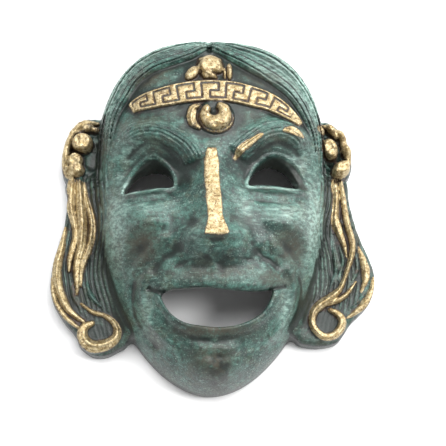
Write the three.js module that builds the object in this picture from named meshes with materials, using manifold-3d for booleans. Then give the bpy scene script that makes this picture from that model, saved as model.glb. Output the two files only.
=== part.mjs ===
import * as THREE from 'three';
import { mergeVertices } from 'three/addons/utils/BufferGeometryUtils.js';
import Module from 'manifold-3d';

// A small hollow bronze mask of a laughing player of Greek comedy, one casting.
// It lies face up on its open back. Lengths are millimetres: x runs across the face,
// y towards the crown, z out of the face. Left and right are those of the viewer.

// The head is a domed oval, open at the back
const wall = 3.5;
const headMiddle = new THREE.Vector2(-0.5, 10);
const halfWidth = 46.5;
const crownReach = 62.5;
const chinReach = 79.2;
const crownSquareness = 2.7;
const chinSquareness = 1.87;
const domeHeight = 36;

// The mesh of the head is laid out as rings and spokes about the middle of the nose
const meshMiddle = new THREE.Vector2(-0.5, -8);
const spokes = 60;
const faceRings = 13;
const innerSpokes = 28;
const innerShares = [0.14, 0.34, 0.54, 0.71, 0.84, 0.93, 0.98, 1];

// Hair, side locks and ornaments
const hairRise = 3;
const combGrooves = 3;
const grooveShare = 0.06;
const grooveDepth = 2.3;
const sideHairHeight = 8.2;
const ornamentHeight = 9;
const edgeRounding = 2.4;

// Band across the forehead
const bandRise = 1.7;
const bandHalves = [2.2, 3, 3.8, 4.3, 4.5, 4.5, 4.5, 4.3, 3.8, 3.2, 2.2, 1.2];
const keyPitch = 9.2;
const keyStart = 1.2;
const keyLine = 0.6;
const keyDepth = 0.7;
const keyMargin = 1.3;

// Nose
const noseRoot = 21;
const noseTip = -13.6;
const noseRise = 11.4;
const noseMiddle = -1.3;

// The holes of the eyes are straight up to the first height, and open into the lids up to the second
const eyeHoleTop = 20.5;
const eyeLidTop = 28.5;
const aboveAll = 60;
const belowAll = -5;

const clamp = (value, low = 0, high = 1) => Math.min(Math.max(value, low), high);

function smooth(from, to, value) {
  const share = clamp((value - from) / (to - from));
  return share * share * (3 - 2 * share);
}

// 1 in the middle of an oval and falling to 0 around it
function swell(x, y, middle, reach, power = 2) {
  const away = Math.hypot((x - middle[0]) / reach[0], (y - middle[1]) / reach[1]);
  return Math.exp(-Math.pow(away, power));
}

// Value at a share of the way along an evenly spaced list
function alongList(list, share) {
  const place = clamp(share) * (list.length - 1);
  const index = Math.min(Math.floor(place), list.length - 2);
  return list[index] + (place - index) * (list[index + 1] - list[index]);
}

// A smooth line through a few points of the plan
function routeThrough(points, steps, closed = false) {
  const bends = points.map(([x, y]) => new THREE.Vector3(x, y, 0));
  const curve = new THREE.CatmullRomCurve3(bends, closed, 'catmullrom', 0.5);
  const line = curve.getPoints(steps);
  if (closed) line.pop();
  return line;
}

// How far a point of the plan is from a line, and how far along the line that is
function nearest(line, x, y, closed = false) {
  let best = { away: Infinity, share: 0 };
  const pieces = closed ? line.length : line.length - 1;
  for (let i = 0; i < pieces; i++) {
    const from = line[i];
    const to = line[(i + 1) % line.length];
    const run = { x: to.x - from.x, y: to.y - from.y };
    const length = run.x * run.x + run.y * run.y;
    const part = clamp(((x - from.x) * run.x + (y - from.y) * run.y) / length);
    const away = Math.hypot(x - from.x - part * run.x, y - from.y - part * run.y);
    if (away < best.away) best = { away, share: (i + part) / pieces };
  }
  return best;
}

// Distance outside a closed outline, negative inside it
function outsideBy(outline, x, y) {
  let within = false;
  for (let i = 0; i < outline.length; i++) {
    const a = outline[i];
    const b = outline[(i + 1) % outline.length];
    const crosses = (a.y > y) !== (b.y > y);
    if (crosses && x < a.x + ((y - a.y) / (b.y - a.y)) * (b.x - a.x)) within = !within;
  }
  const { away } = nearest(outline, x, y, true);
  return within ? -away : away;
}

// Openings: the mouth, and each eye as a hole with a wider slanting lid in front of it
const mouthOutline = routeThrough([
  [-19.6, -34.2], [-17.4, -39.2], [-13.2, -42.8], [-7.6, -44.7], [-0.6, -45.6], [5.4, -45.2], [11.8, -43.4],
  [17, -40.2], [20.3, -35.7], [21, -31.6], [16.4, -32.2], [9, -32.4], [0.8, -31.7], [-7.4, -31.6],
  [-15.6, -32],
], 30, true);
const eyes = [
  {
    middle: [-24, 13],
    hole: [[-34, 5.2], [-28.4, 6.3], [-22.6, 7], [-16.8, 7.1], [-17, 11], [-20.4, 13.2],
      [-25.2, 13.9], [-29.4, 12.6], [-32.4, 9.2]],
    lid: [[-34.4, 5], [-28.4, 6.1], [-22, 6.8], [-16.2, 6.9], [-16.4, 12.4], [-19.6, 16.4],
      [-23.6, 18.5], [-28, 16.6], [-32.2, 11.8]],
  },
  {
    middle: [23.5, 14],
    hole: [[13.2, 7.8], [17.8, 8.1], [24.5, 8.3], [30.9, 8.2], [29.6, 12.2], [27, 15.2], [23.2, 16.3],
      [18.8, 15.6], [14.8, 12.4]],
    lid: [[12.6, 8], [17.6, 8.4], [24, 8.5], [35.6, 7.4], [34, 12.4], [30.6, 17.4], [24.6, 19.8],
      [18.8, 18.3], [14.3, 13.2]],
  },
];

// Brows, and broad soft rolls of the laughing face with their half width and rise
const brows = [
  [[-7.6, 15], [-9.4, 18.8], [-12.2, 22.3], [-16.7, 25.4], [-21.2, 27.6], [-27.2, 28.4], [-32.5, 27.2],
    [-36, 24.8]],
  [[7.6, 17.8], [10, 21.2], [13.6, 24.2], [18.4, 27.8], [24, 29.8], [29.2, 29.2], [33.4, 26.8], [35.6, 23.6]],
].map((points) => routeThrough(points, 24));
const rolls = [
  { half: 1.8, rise: -0.9, route: [[-11.8, -15.4], [-20.4, -22.4], [-24.6, -27.6]] },
  { half: 1.8, rise: -0.9, route: [[13.8, -16.4], [21, -21.6], [25.4, -24.4]] },
  { half: 2, rise: 1.1, route: [[-33.4, -26.5], [-34.3, -19], [-29.4, -9], [-23, -7.3], [-15.5, -7.6]] },
  { half: 2, rise: 1.1, route: [[35.6, -27], [36.6, -19], [29, -8.4], [22, -6.6], [16, -6.8]] },
  { half: 2, rise: 1.1, route: [[-35.4, 3.2], [-28.4, 3.6], [-23.7, 4.2], [-16.8, 4.6]] },
  { half: 2, rise: 1.1, route: [[11.5, 5], [17, 4.8], [24, 4.7], [31, 4.9], [37.2, 5.6]] },
].map(({ half, rise, route }) => ({ half, rise, line: routeThrough(route, 16) }));

// The hair lies outside this window around the face
const hairline = routeThrough([
  [-2.1, 65.5], [-6.3, 60.6], [-17.4, 55.3], [-23.8, 52.8], [-29.1, 48.8], [-36.8, 36.6], [-39.6, 30],
  [-41.8, 18], [-42.2, 4], [-39.6, -22], [-35, -41], [-31, -50], [-22, -64], [0, -78], [22, -64], [31, -50],
  [35.6, -40], [40.2, -18], [41, -4], [40.8, 10], [39, 22], [36.4, 30], [29.5, 41.2], [21.4, 47.8],
  [10.8, 54.2], [5.1, 58.4],
], 130, true);

// Swellings and hollows that the inside of the casting follows too
function masses(x, y) {
  let rise = 7 * swell(x, y, [-0.8, -61], [13, 7.5]);
  for (const side of [-27.6, 28.2]) rise += 3.6 * swell(x, y, [side, -7.2], [12, 10]);
  for (const { middle } of eyes) rise -= 7.5 * swell(x, y, middle, [14.5, 9.5], 2.6);
  return rise + 2.5 * swell(x, y, [0.7, -38], [27, 14], 3);
}

// Half width of the flat ridge of the nose, from its root to its tip
const noseHalfAt = (share) => 1.7 + 0.9 * smooth(0, 0.2, share) + 1.7 * smooth(0.78, 1, share);

function noseOf(x, y) {
  const down = clamp((noseRoot - y) / (noseRoot - noseTip));
  const ridge = 1.5 + (noseRise - 1.5) * Math.pow(down, 1.25);
  const away = Math.abs(x - noseMiddle);
  const flank = (1 - clamp((away - noseHalfAt(down)) / (12 + 4 * down))) ** 1.7;
  const underside = smooth(noseTip - 11.5, noseTip + 0.5, y);
  let rise = ridge * flank * underside * smooth(noseRoot + 5.5, noseRoot - 3.5, y);
  for (const side of [-1, 1]) {
    rise += 2.8 * swell(x, y, [7.2 * side + 0.2, -16], [4.2, 4.6], 2.8);
    rise -= 0.8 * swell(x, y, [3.9 * side, -20.6], [1.7, 1.1]);
  }
  return rise;
}

function browsAndRolls(x, y) {
  let rise = 2 * swell(x, y, [-1, 24], [9, 9]);
  for (const side of [-11, 9.5]) rise -= 1.2 * swell(x, y, [side, 12], [5, 8]);
  for (const side of [-26.6, 27.4]) rise -= 1.6 * swell(x, y, [side, -16.5], [5.2, 5]);
  for (const brow of brows) {
    const { away, share } = nearest(brow, x, y);
    const breadth = 3 + 1.6 * Math.sin(Math.PI * share);
    rise += 3 * Math.exp(-((away / breadth) ** 2)) * smooth(0, 0.1, share) * smooth(1, 0.82, share);
  }
  for (const { line, half, rise: height } of rolls) {
    const { away, share } = nearest(line, x, y);
    const fade = smooth(0, 0.18, share) * smooth(1, 0.82, share);
    rise += height * fade * Math.exp(-((away / half) ** 2));
  }
  return rise;
}

function domeAt(x, y, inset = 0) {
  const up = y > headMiddle.y;
  const reach = (up ? crownReach : chinReach) - inset;
  const power = up ? crownSquareness : chinSquareness;
  const across = Math.abs(x - headMiddle.x) / (halfWidth - inset);
  const along = Math.abs(y - headMiddle.y) / reach;
  const share = Math.pow(across ** power + along ** power, 1 / power);
  return (domeHeight - inset) * Math.sqrt(clamp(1 - share ** 3));
}

// Height of the face, without hair
const faceAt = (x, y) => domeAt(x, y) + masses(x, y) + noseOf(x, y) + browsAndRolls(x, y);

// Distance from the mesh middle to the head's outline along one spoke
function outlineReach(direction, inset = 0) {
  let low = 0;
  let high = 2 * chinReach;
  for (let i = 0; i < 40; i++) {
    const half = (low + high) / 2;
    const x = meshMiddle.x + half * direction.x;
    const y = meshMiddle.y + half * direction.y;
    if (domeAt(x, y, inset) > 0) low = half;
    else high = half;
  }
  return low;
}

// Distance from the mesh middle to the hairline along one spoke
function hairlineReach(direction, limit) {
  let reach = 0;
  for (let step = 0; step < limit; step += 0.5) {
    const x = meshMiddle.x + step * direction.x;
    const y = meshMiddle.y + step * direction.y;
    if (outsideBy(hairline, x, y) < 0) reach = step;
  }
  return Math.min(reach, 0.9 * limit);
}

// A closed body through rings of points, with a fan over each end. Seen from the last
// ring the corners run counter-clockwise.
function loft(rings) {
  const sides = rings[0].length;
  const corners = rings.flat();
  const triangles = [];
  for (let ring = 0; ring + 1 < rings.length; ring++) {
    for (let side = 0; side < sides; side++) {
      const a = ring * sides + side;
      const b = ring * sides + ((side + 1) % sides);
      const c = a + sides;
      const d = b + sides;
      const straight = corners[a].distanceTo(corners[d]) < corners[b].distanceTo(corners[c]);
      triangles.push(...(straight ? [a, b, d, a, d, c] : [a, b, c, b, d, c]));
    }
  }
  for (const ring of [0, rings.length - 1]) {
    const middle = new THREE.Vector3();
    for (const corner of rings[ring]) middle.addScaledVector(corner, 1 / sides);
    corners.push(middle);
    for (let side = 0; side < sides; side++) {
      const here = ring * sides + side;
      const next = ring * sides + ((side + 1) % sides);
      if (ring === 0) triangles.push(corners.length - 1, next, here);
      else triangles.push(corners.length - 1, here, next);
    }
  }
  const geometry = new THREE.BufferGeometry().setFromPoints(corners);
  geometry.setIndex(triangles);
  return geometry;
}

const wasm = await Module();
wasm.setup();

function solid(geometry) {
  const bare = geometry.clone();
  bare.deleteAttribute('normal');
  bare.deleteAttribute('uv');
  const merged = mergeVertices(bare, 1e-4);
  return new wasm.Manifold(new wasm.Mesh({
    numProp: 3,
    vertProperties: new Float32Array(merged.attributes.position.array),
    triVerts: new Uint32Array(merged.index.array),
  }));
}

// Directions of the spokes, evenly spread along the head's outline
function spokeDirections(count) {
  const fine = 720;
  const outline = [];
  for (let i = 0; i <= fine; i++) {
    const angle = (2 * Math.PI * i) / fine;
    const direction = new THREE.Vector2(Math.cos(angle), Math.sin(angle));
    outline.push(direction.clone().multiplyScalar(outlineReach(direction)));
  }
  const travelled = [0];
  for (let i = 0; i < fine; i++) travelled.push(travelled[i] + outline[i].distanceTo(outline[i + 1]));
  const directions = [];
  for (let spoke = 0; spoke < count; spoke++) {
    const wanted = (travelled[fine] * spoke) / count;
    const before = travelled.findIndex((length) => length > wanted) - 1;
    directions.push(outline[before].clone().normalize());
  }
  return directions;
}

// Height of the hair over the face, with combed grooves and the notch of its parting
function hairAt(x, y, groove) {
  const crown = smooth(14, 40, y);
  const hair = smooth(0, 1.2, outsideBy(hairline, x, y)) * crown * hairRise;
  const parting = 1.8 * swell(x, y, [-2, 69], [1.3, 6.5]);
  return faceAt(x, y) + hair - parting - (groove ? crown * grooveDepth : 0);
}

// Rings from the hairline out to the edge as shares of the way, three to a combed groove
function hairRings() {
  const rings = [];
  for (let groove = 0; groove < combGrooves; groove++) {
    const middle = (groove + 0.5) / combGrooves;
    for (const side of [-1, 0, 1]) rings.push({ share: middle + side * grooveShare, deep: side === 0 });
  }
  return [...rings, { share: 1, deep: false }];
}

// Outside of the head. The last rings run down into the back plane.
function headOutside() {
  const directions = spokeDirections(spokes);
  const reaches = directions.map((direction) => outlineReach(direction));
  const hairs = directions.map((direction, i) => hairlineReach(direction, reaches[i]));
  const rings = [];
  const place = ({ x, y }, away) => [meshMiddle.x + away * x, meshMiddle.y + away * y];
  for (let ring = 1; ring <= faceRings; ring++) {
    rings.push(directions.map((direction, i) => {
      const [x, y] = place(direction, (hairs[i] * ring) / faceRings);
      return new THREE.Vector3(x, y, faceAt(x, y));
    }));
  }
  for (const { share, deep } of hairRings()) {
    // Closer together towards the edge, where the head is steep
    const across = 1 - (1 - share) ** 1.6;
    rings.push(directions.map((direction, i) => {
      const [x, y] = place(direction, hairs[i] + across * (reaches[i] - hairs[i]));
      return new THREE.Vector3(x, y, share < 1 ? hairAt(x, y, deep) : 0);
    }));
  }
  rings.push(rings.at(-1).map((corner) => new THREE.Vector3(corner.x, corner.y, -2)));
  return loft(rings.reverse());
}

// Inside of the head, one wall thickness in from the smooth masses of the face
function headInside() {
  const directions = spokeDirections(innerSpokes);
  const rings = [];
  for (const share of innerShares) {
    rings.push(directions.map((direction) => {
      const reach = share * outlineReach(direction, wall);
      const x = meshMiddle.x + reach * direction.x;
      const y = meshMiddle.y + reach * direction.y;
      let height = domeAt(x, y, wall) + 0.9 * masses(x, y);
      height += 4.5 * swell(x, y, [-1, -8], [6, 12]);
      for (const { middle } of eyes) height -= 2.4 * swell(x, y, middle, [14, 10], 2.6);
      return new THREE.Vector3(x, y, Math.max(height, 0));
    }));
  }
  rings.push(rings.at(-1).map((corner) => new THREE.Vector3(corner.x, corner.y, -4)));
  return loft(rings.reverse());
}

// A straight or slanting cut through the shell between outlines at given heights
function cut(sections) {
  const rings = sections.map(({ outline, height, grow = 1 }) => {
    const middle = new THREE.Vector3();
    for (const corner of outline) middle.addScaledVector(corner, 1 / outline.length);
    return outline.map((corner) => {
      const moved = corner.clone().sub(middle).multiplyScalar(grow).add(middle);
      return moved.setZ(height);
    });
  });
  return loft(rings);
}

// A strip that lies on the face along a route: band and nose ridge
function strip(route, halfWidthAt, rise, sink) {
  const rings = route.map((corner, i) => {
    const before = route[Math.max(i - 1, 0)];
    const after = route[Math.min(i + 1, route.length - 1)];
    const along = new THREE.Vector2(after.x - before.x, after.y - before.y).normalize();
    const half = halfWidthAt(i / (route.length - 1));
    const edges = [-1, 0, 1].map((side) => {
      const x = corner.x - side * half * along.y;
      const y = corner.y + side * half * along.x;
      return new THREE.Vector3(x, y, faceAt(x, y));
    });
    const top = edges.map((edge) => edge.clone().setZ(edge.z + rise));
    const bottom = edges.map((edge) => edge.clone().setZ(edge.z - sink)).reverse();
    return [...top, ...bottom];
  });
  return loft(rings.reverse());
}

// A rounded ridge along a route, with half widths along it and a ground that it follows
function ridge(route, { halves, rise, ground, sides = 6 }) {
  const last = route.length - 1;
  const widest = Math.max(...halves);
  const rings = route.map((corner, i) => {
    const before = route[Math.max(i - 1, 0)];
    const after = route[Math.min(i + 1, last)];
    const along = new THREE.Vector2(after.x - before.x, after.y - before.y).normalize();
    const half = alongList(halves, i / last);
    const up = rise * (0.3 + (0.7 * half) / widest);
    const ring = [];
    for (let side = 0; side < sides; side++) {
      const turn = Math.PI * (0.5 + (2 * side) / sides);
      const out = half * Math.cos(turn);
      const x = corner.x - out * along.y;
      const y = corner.y + out * along.x;
      ring.push(new THREE.Vector3(x, y, ground(x, y) + up * Math.sin(turn)));
    }
    return ring;
  });
  return loft(rings);
}

// An oval ball around a point at a height, turned by degrees
function bead([x, y], [rx, ry, rz], height, turn = 0) {
  const ball = new THREE.SphereGeometry(1, 8, 5).rotateX(Math.PI / 2).scale(rx, ry, rz);
  return ball.rotateZ(THREE.MathUtils.degToRad(turn)).translate(x, y, height);
}

// A flat mass with rounded upper edge, for side hair and ornaments
function slab(points, height) {
  const shape = new THREE.Shape(routeThrough(points, Math.round(1.3 * points.length), true));
  const body = new THREE.ExtrudeGeometry(shape, {
    depth: height - edgeRounding - belowAll,
    bevelThickness: edgeRounding,
    bevelSize: edgeRounding,
    bevelOffset: -edgeRounding,
    bevelSegments: 2,
    curveSegments: 1,
  });
  return body.translate(0, 0, belowAll);
}

// Side hair below the ornaments
const sideHair = [
  [[-57.2, 14.6], [-57.4, 7], [-58.6, -4], [-61.6, -15], [-63.2, -25.5], [-61.9, -33.5], [-57.6, -40.8],
    [-53, -46.2], [-50.8, -50.8], [-46.3, -54.1], [-41.1, -54.5], [-36.6, -52.4], [-32.4, -49.2],
    [-28, -38], [-32, -18], [-36, 2], [-40, 16]],
  [[52.6, 17.4], [54.9, 6.6], [57.6, -3.8], [60.6, -11.4], [63.6, -19], [64, -26], [61.2, -34],
    [54.8, -40.6], [51.8, -45], [48.9, -48.6], [44, -50.2], [38, -50.2], [32.6, -48.2],
    [27, -38], [31, -18], [35, 2], [38, 17]],
];

// Locks of the side hair, from the ornaments down: half widths along the route, and rise
const locks = [
  { halves: [0.6, 1.5, 1.7, 1.2, 0.4], rise: 3.8, route: [[-50.6, 13.6], [-49.6, 7], [-48, 1.3],
    [-47, -3.6], [-48.2, -13.1], [-49.8, -17.5], [-50.8, -27.4]] },
  { halves: [1.3, 1.6, 2.2, 2.3, 2.1, 1.6, 1.2, 0.4], rise: 5, route: [[-52.6, 15.8], [-52.1, 9.4],
    [-51.5, 3.1], [-50.8, -2.3], [-51, -12.2], [-52.1, -16.7], [-52.6, -21.1], [-52.2, -30.4]] },
  { halves: [1.5, 1.8, 1.5, 1.1, 1.4, 0.6], rise: 4.2, route: [[-55.2, 15.4], [-55.6, 10.3], [-55.6, 4.8],
    [-53.7, -4.2], [-53.4, -8.2], [-55.2, -16.7], [-55.6, -21.5]] },
  { halves: [0.7, 1.6, 2, 2, 1.7, 1.3, 0.8], rise: 3.8, route: [[-57.4, -4.5], [-58.6, -12.2], [-60.2, -22.1],
    [-59.6, -26.5], [-56.3, -35.2], [-53.4, -38.4], [-49.6, -41]] },
  { halves: [0.6, 1, 1.1, 1, 0.6], rise: 2.4, route: [[-62, -24.4], [-61.5, -30], [-60, -34.4],
    [-57.2, -38.6], [-51.2, -43.6]] },
  { halves: [1.2, 1.7, 1.6, 1.5, 2.2, 1.3, 0.4], rise: 4, route: [[48.4, 17.4], [48.3, 13.4], [48.5, 4.3],
    [48.7, -2.6], [50.3, -6.6], [52.6, -15]] },
  { halves: [0.4, 0.9, 1.2, 0.6], rise: 3.2, route: [[56.2, -24.6], [52.4, -29.6], [48.8, -32.2],
    [44.6, -34.2]] },
  { halves: [0.5, 1.5, 1.9, 1.6, 0.6], rise: 2.8, route: [[57.4, -11], [58.8, -15.4], [59.9, -20],
    [59.8, -24], [58, -28.6]] },
  { halves: [0.5, 1.3, 1.7, 1.3, 0.5], rise: 2.6, route: [[63, -23], [62, -28.6], [59.9, -32.6],
    [56.6, -36], [52.4, -39]] },
];

// Curls that end the side hair, each around a shallow pit
const curls = [
  { halves: [0.5, 0.9, 1.1, 1.5, 2, 2.2, 2.2, 1.9, 1], rise: 4, pit: [-43.4, -45.6], pitReach: 4.8,
    route: [[-50.6, -34.2], [-46.2, -37.4], [-41.7, -38.7], [-38.2, -41.2], [-36.5, -44.5], [-37.3, -47.6],
      [-40.6, -49.9], [-45, -50.8], [-48.3, -49.4], [-49.9, -46.4], [-49, -43.2], [-46.2, -41.8]] },
  { halves: [1, 1.4, 1.4, 1, 1, 2, 1.8, 1.5, 1.8, 1.7, 1], rise: 4.4, pit: [44.6, -41], pitReach: 4.4,
    route: [[50.4, 17], [51.3, 10.7], [52.1, 4.3], [53.1, -2.1], [54.9, -11.1], [54.2, -15.6], [51.2, -24.6],
      [49.3, -28.2], [45.7, -31.4], [39.4, -36.6], [38.5, -40], [39.5, -43.4], [42.9, -46.3], [46.9, -45.9],
      [49.8, -42.8], [50.2, -39.6], [48.2, -37.2], [45.6, -36]] },
];

// Flower ornaments at the temples: ground, leaves and beads
const ornaments = [
  {
    ground: [[-42, 39], [-46, 40.3], [-51.3, 40], [-56, 36], [-59, 29], [-60, 20.5], [-57.5, 13.5],
      [-52, 12.5], [-46, 15], [-41, 25]],
    leaves: [
      { halves: [0.9, 2, 2.2, 2.2, 1.8, 1], rise: 5, route: [[-45.8, 37.4], [-51, 37], [-55, 33.4],
        [-57.2, 28.3], [-58, 22.8], [-55, 15]] },
      { halves: [1.3, 2, 1.3], rise: 5.4, route: [[-46, 34.6], [-49.8, 35.2], [-52.8, 33.2]] },
    ],
    beads: [{ at: [-51.6, 28], size: [4.2, 4.1, 8.4] }, { at: [-53.9, 21.6], size: [3.4, 2.5, 6.8] },
      { at: [-53.8, 18.1], size: [3.2, 2.5, 6.4] }, { at: [-46.9, 22.4], size: [2.4, 3.4, 3.6] }],
  },
  {
    ground: [[39, 39], [45, 40.6], [50, 38.3], [54.2, 32.5], [56, 25.5], [55.3, 18.5], [51.5, 15.2],
      [45, 15], [39, 20]],
    leaves: [
      { halves: [1.1, 2.1, 1.3], rise: 6.2, route: [[43.8, 37.2], [46.6, 36.2], [49, 33]] },
      { halves: [1, 2.2, 1.4], rise: 5.8, route: [[48.2, 36.2], [51, 33.8], [52.4, 30]] },
      { halves: [1.5, 2.3, 1.3], rise: 5.6, route: [[51.6, 30.6], [53.2, 27], [53.8, 22.8]] },
      { halves: [0.7, 1, 0.6], rise: 4.2, route: [[39.4, 23.6], [43.2, 22.2], [46.2, 19.8]] },
    ],
    beads: [{ at: [45.9, 27], size: [4.9, 6.1, 3] }, { at: [45.9, 27.2], size: [3.6, 4.8, 8.6] },
      { at: [50.6, 19.6], size: [4.5, 3.2, 7.4], turn: 40 }, { at: [42.3, 34.2], size: [2.1, 2, 6.8] }],
  },
];

// Band, bent around the forehead
const bandRoute = routeThrough([
  [-32.4, 38.3], [-30.2, 39.4], [-26.8, 40.5], [-20.5, 41.8], [-13.8, 43.1], [-6.5, 44.1], [0.5, 44.3],
  [7.5, 43.8], [14.7, 42.1], [19.5, 40.9], [24.2, 38.8], [28, 36.5], [31.2, 34.3], [33, 32.6],
], 26);
const bandHalfAt = (share) => alongList(bandHalves, share);

const onSideHair = () => sideHairHeight - 0.5;
const onOrnament = () => ornamentHeight;

// Lips along both edges of the mouth, rims of the upper lids and folds around the mouth
const faceRidges = [
  { halves: [1.2, 3, 4, 4.6, 4.2, 4.6, 4, 3, 1.2], rise: 2.1, route: [[-23.2, -30.8], [-18.6, -28.6],
    [-13.5, -27], [-6, -26], [0.5, -26.8], [7, -26.2], [14, -26.8], [20, -28], [25.6, -30]] },
  { halves: [1.4, 2.2, 2.6, 2.9, 2.9, 2.8, 2.4, 2.2, 1.4], rise: 2, route: [[-22.6, -33.4], [-19.6, -38.6],
    [-14, -43.8], [-7, -46.8], [-0.6, -47.5], [6.5, -46.5], [13.2, -44.2], [19.8, -39.6], [24, -32.6]] },
  { halves: [0.5, 1.1, 1.2, 1.1, 0.5], rise: 1, route: [[-34.4, 8.6], [-31, 14.4], [-23.6, 19.2], [-18.4, 16],
    [-15.4, 10.4]] },
  { halves: [0.5, 1.1, 1.2, 1.1, 0.5], rise: 1, route: [[13.2, 13], [17.8, 18.4], [24.6, 20.5], [31.4, 17.8],
    [35.6, 10.4]] },
  { halves: [0.6, 1.9, 2.1, 1.6, 0.5], rise: 1.2, route: [[-22.6, -21.6], [-27.4, -30.6], [-27, -36.8],
    [-21.4, -47], [-13, -53.6]] },
  { halves: [0.6, 1.9, 2.1, 1.6, 0.5], rise: 1.2, route: [[25, -20.6], [30.4, -30], [29.4, -36.8],
    [22.7, -47.2], [15, -53]] },
  { halves: [0.6, 1.9, 2, 1.9, 0.6], rise: 0.9, route: [[-13, -50.4], [-4.7, -53], [4.5, -52.8],
    [16, -50.6]] },
];

// Fine green strands between the face and the gilded locks
function innerStrands() {
  return [-1, 1].map((side) => {
    const edge = side > 0 ? 43.6 : 44.2;
    const route = routeThrough([
      [side * (edge + 2), 13], [side * (edge + 1.2), 3], [side * edge, -7],
      [side * (edge + 0.6), -20], [side * (edge - 0.8), -33],
    ], 8);
    return ridge(route, { halves: [0.4, 1.4, 1.4, 0.4], rise: 1.8, ground: onSideHair, sides: 4 });
  });
}

// Bud and leaves over the band, and the curled pendant under it
function jewel() {
  const middle = [-0.3, 32.6];
  const hook = [];
  const steps = 11;
  for (let i = 0; i <= steps; i++) {
    const turn = THREE.MathUtils.degToRad(128 + (298 * i) / steps);
    hook.push(new THREE.Vector3(middle[0] + 3.9 * Math.cos(turn), middle[1] + 3.9 * Math.sin(turn), 0));
  }
  const outer = routeThrough([[-5, 37.8], [-7.8, 36.4], [-9, 33], [-7.8, 29.8], [-5.2, 27.6]], 8);
  const top = faceAt(...middle);
  return [
    bead([-2.2, 54.6], [5.2, 5.6, 4.4], faceAt(-2.2, 54.6), 12),
    bead([-9, 51.6], [3.6, 2.5, 3.6], faceAt(-9, 51.6), 48),
    bead([5, 52.8], [1.1, 4.4, 3.6], faceAt(5, 52.8)),
    ridge(hook, { halves: [1.7, 2, 2.3, 2, 1.7], rise: 3.2, ground: () => top + 0.8 }),
    ridge(outer, { halves: [0.9, 1.4, 1.5, 1.3, 0.6], rise: 2.6, ground: () => top }),
  ];
}

// Raised parts joined to the head
function raisedParts() {
  const parts = [...innerStrands(), ...jewel()];
  for (const points of sideHair) parts.push(slab(points, sideHairHeight));
  for (const lock of [...locks, ...curls]) {
    const route = routeThrough(lock.route, Math.round(1.1 * lock.route.length));
    parts.push(ridge(route, { ...lock, ground: onSideHair }));
  }
  for (const fold of faceRidges) {
    const route = routeThrough(fold.route, Math.round(1.2 * fold.route.length));
    parts.push(ridge(route, { ...fold, ground: faceAt }));
  }
  for (const { ground, leaves, beads } of ornaments) {
    parts.push(slab(ground, ornamentHeight));
    for (const leaf of leaves) {
      const route = routeThrough(leaf.route, 2 * leaf.route.length);
      parts.push(ridge(route, { ...leaf, ground: onOrnament }));
    }
    for (const { at, size, turn } of beads) parts.push(bead(at, size, ornamentHeight, turn));
  }
  parts.push(strip(bandRoute, bandHalfAt, bandRise, wall / 2));
  const noseLine = [];
  for (let i = 0; i <= 9; i++) {
    noseLine.push(new THREE.Vector3(noseMiddle, noseRoot - 0.4 + (i / 9) * (noseTip - noseRoot), 0));
  }
  parts.push(strip(noseLine, noseHalfAt, 0.5, wall / 2));
  return parts;
}

// Meander cut into the band, one narrow groove that runs from end to end
function meander() {
  // Lengths are taken over the curved forehead, so the units look closer at the ends
  const onFace = bandRoute.map(({ x, y }) => new THREE.Vector3(x, y, faceAt(x, y)));
  const lengths = [0];
  for (let i = 1; i < onFace.length; i++) lengths.push(lengths[i - 1] + onFace[i].distanceTo(onFace[i - 1]));
  const total = lengths.at(-1);
  const onBand = (along, across) => {
    const index = lengths.findIndex((length) => length > along) - 1;
    const from = bandRoute[index];
    const run = bandRoute[index + 1].clone().sub(from);
    const left = new THREE.Vector3(-run.y, run.x, 0).normalize();
    const part = (along - lengths[index]) / (lengths[index + 1] - lengths[index]);
    const reach = across * (bandHalfAt((index + part) / (bandRoute.length - 1)) - keyMargin);
    return from.clone().addScaledVector(run, part).addScaledVector(left, reach);
  };
  // Corners of one unit, as shares of the pitch and of the band's half width
  const unit = [[0, -1], [0, 1], [0.7, 1], [0.7, -0.05], [0.34, -0.05], [0.34, -1]];
  const corners = [];
  for (let start = keyStart; start + keyPitch < total - 4; start += keyPitch) {
    for (const [along, across] of unit) corners.push(onBand(start + along * keyPitch, across));
  }
  const rings = corners.map((corner, i) => {
    const arriving = corner.clone().sub(corners[Math.max(i - 1, 0)]).normalize();
    const leaving = corners[Math.min(i + 1, corners.length - 1)].clone().sub(corner).normalize();
    const along = arriving.clone().add(leaving).normalize();
    const left = new THREE.Vector3(-along.y, along.x, 0);
    // A mitred corner is wider than the groove
    const square = Math.max(Math.abs(along.dot(i > 0 ? arriving : leaving)), 0.5);
    const floor = faceAt(corner.x, corner.y) + bandRise - keyDepth;
    return [[1, 3], [-1, 3], [-1, 0], [1, 0]].map(([side, up]) =>
      corner.clone().addScaledVector(left, (side * keyLine) / 2 / square).setZ(floor + up));
  });
  return solid(loft(rings));
}

function openings() {
  const mouth = [{ outline: mouthOutline, height: belowAll }, { outline: mouthOutline, height: aboveAll }];
  const cuts = [headInside(), cut(mouth)];
  for (const eye of eyes) {
    const hole = routeThrough(eye.hole, 18, true);
    const lid = routeThrough(eye.lid, 18, true);
    cuts.push(cut([
      { outline: hole, height: belowAll },
      { outline: hole, height: eyeHoleTop },
      { outline: lid, height: eyeLidTop },
      { outline: lid, height: aboveAll, grow: 1.2 },
    ]));
  }
  return cuts;
}

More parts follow.
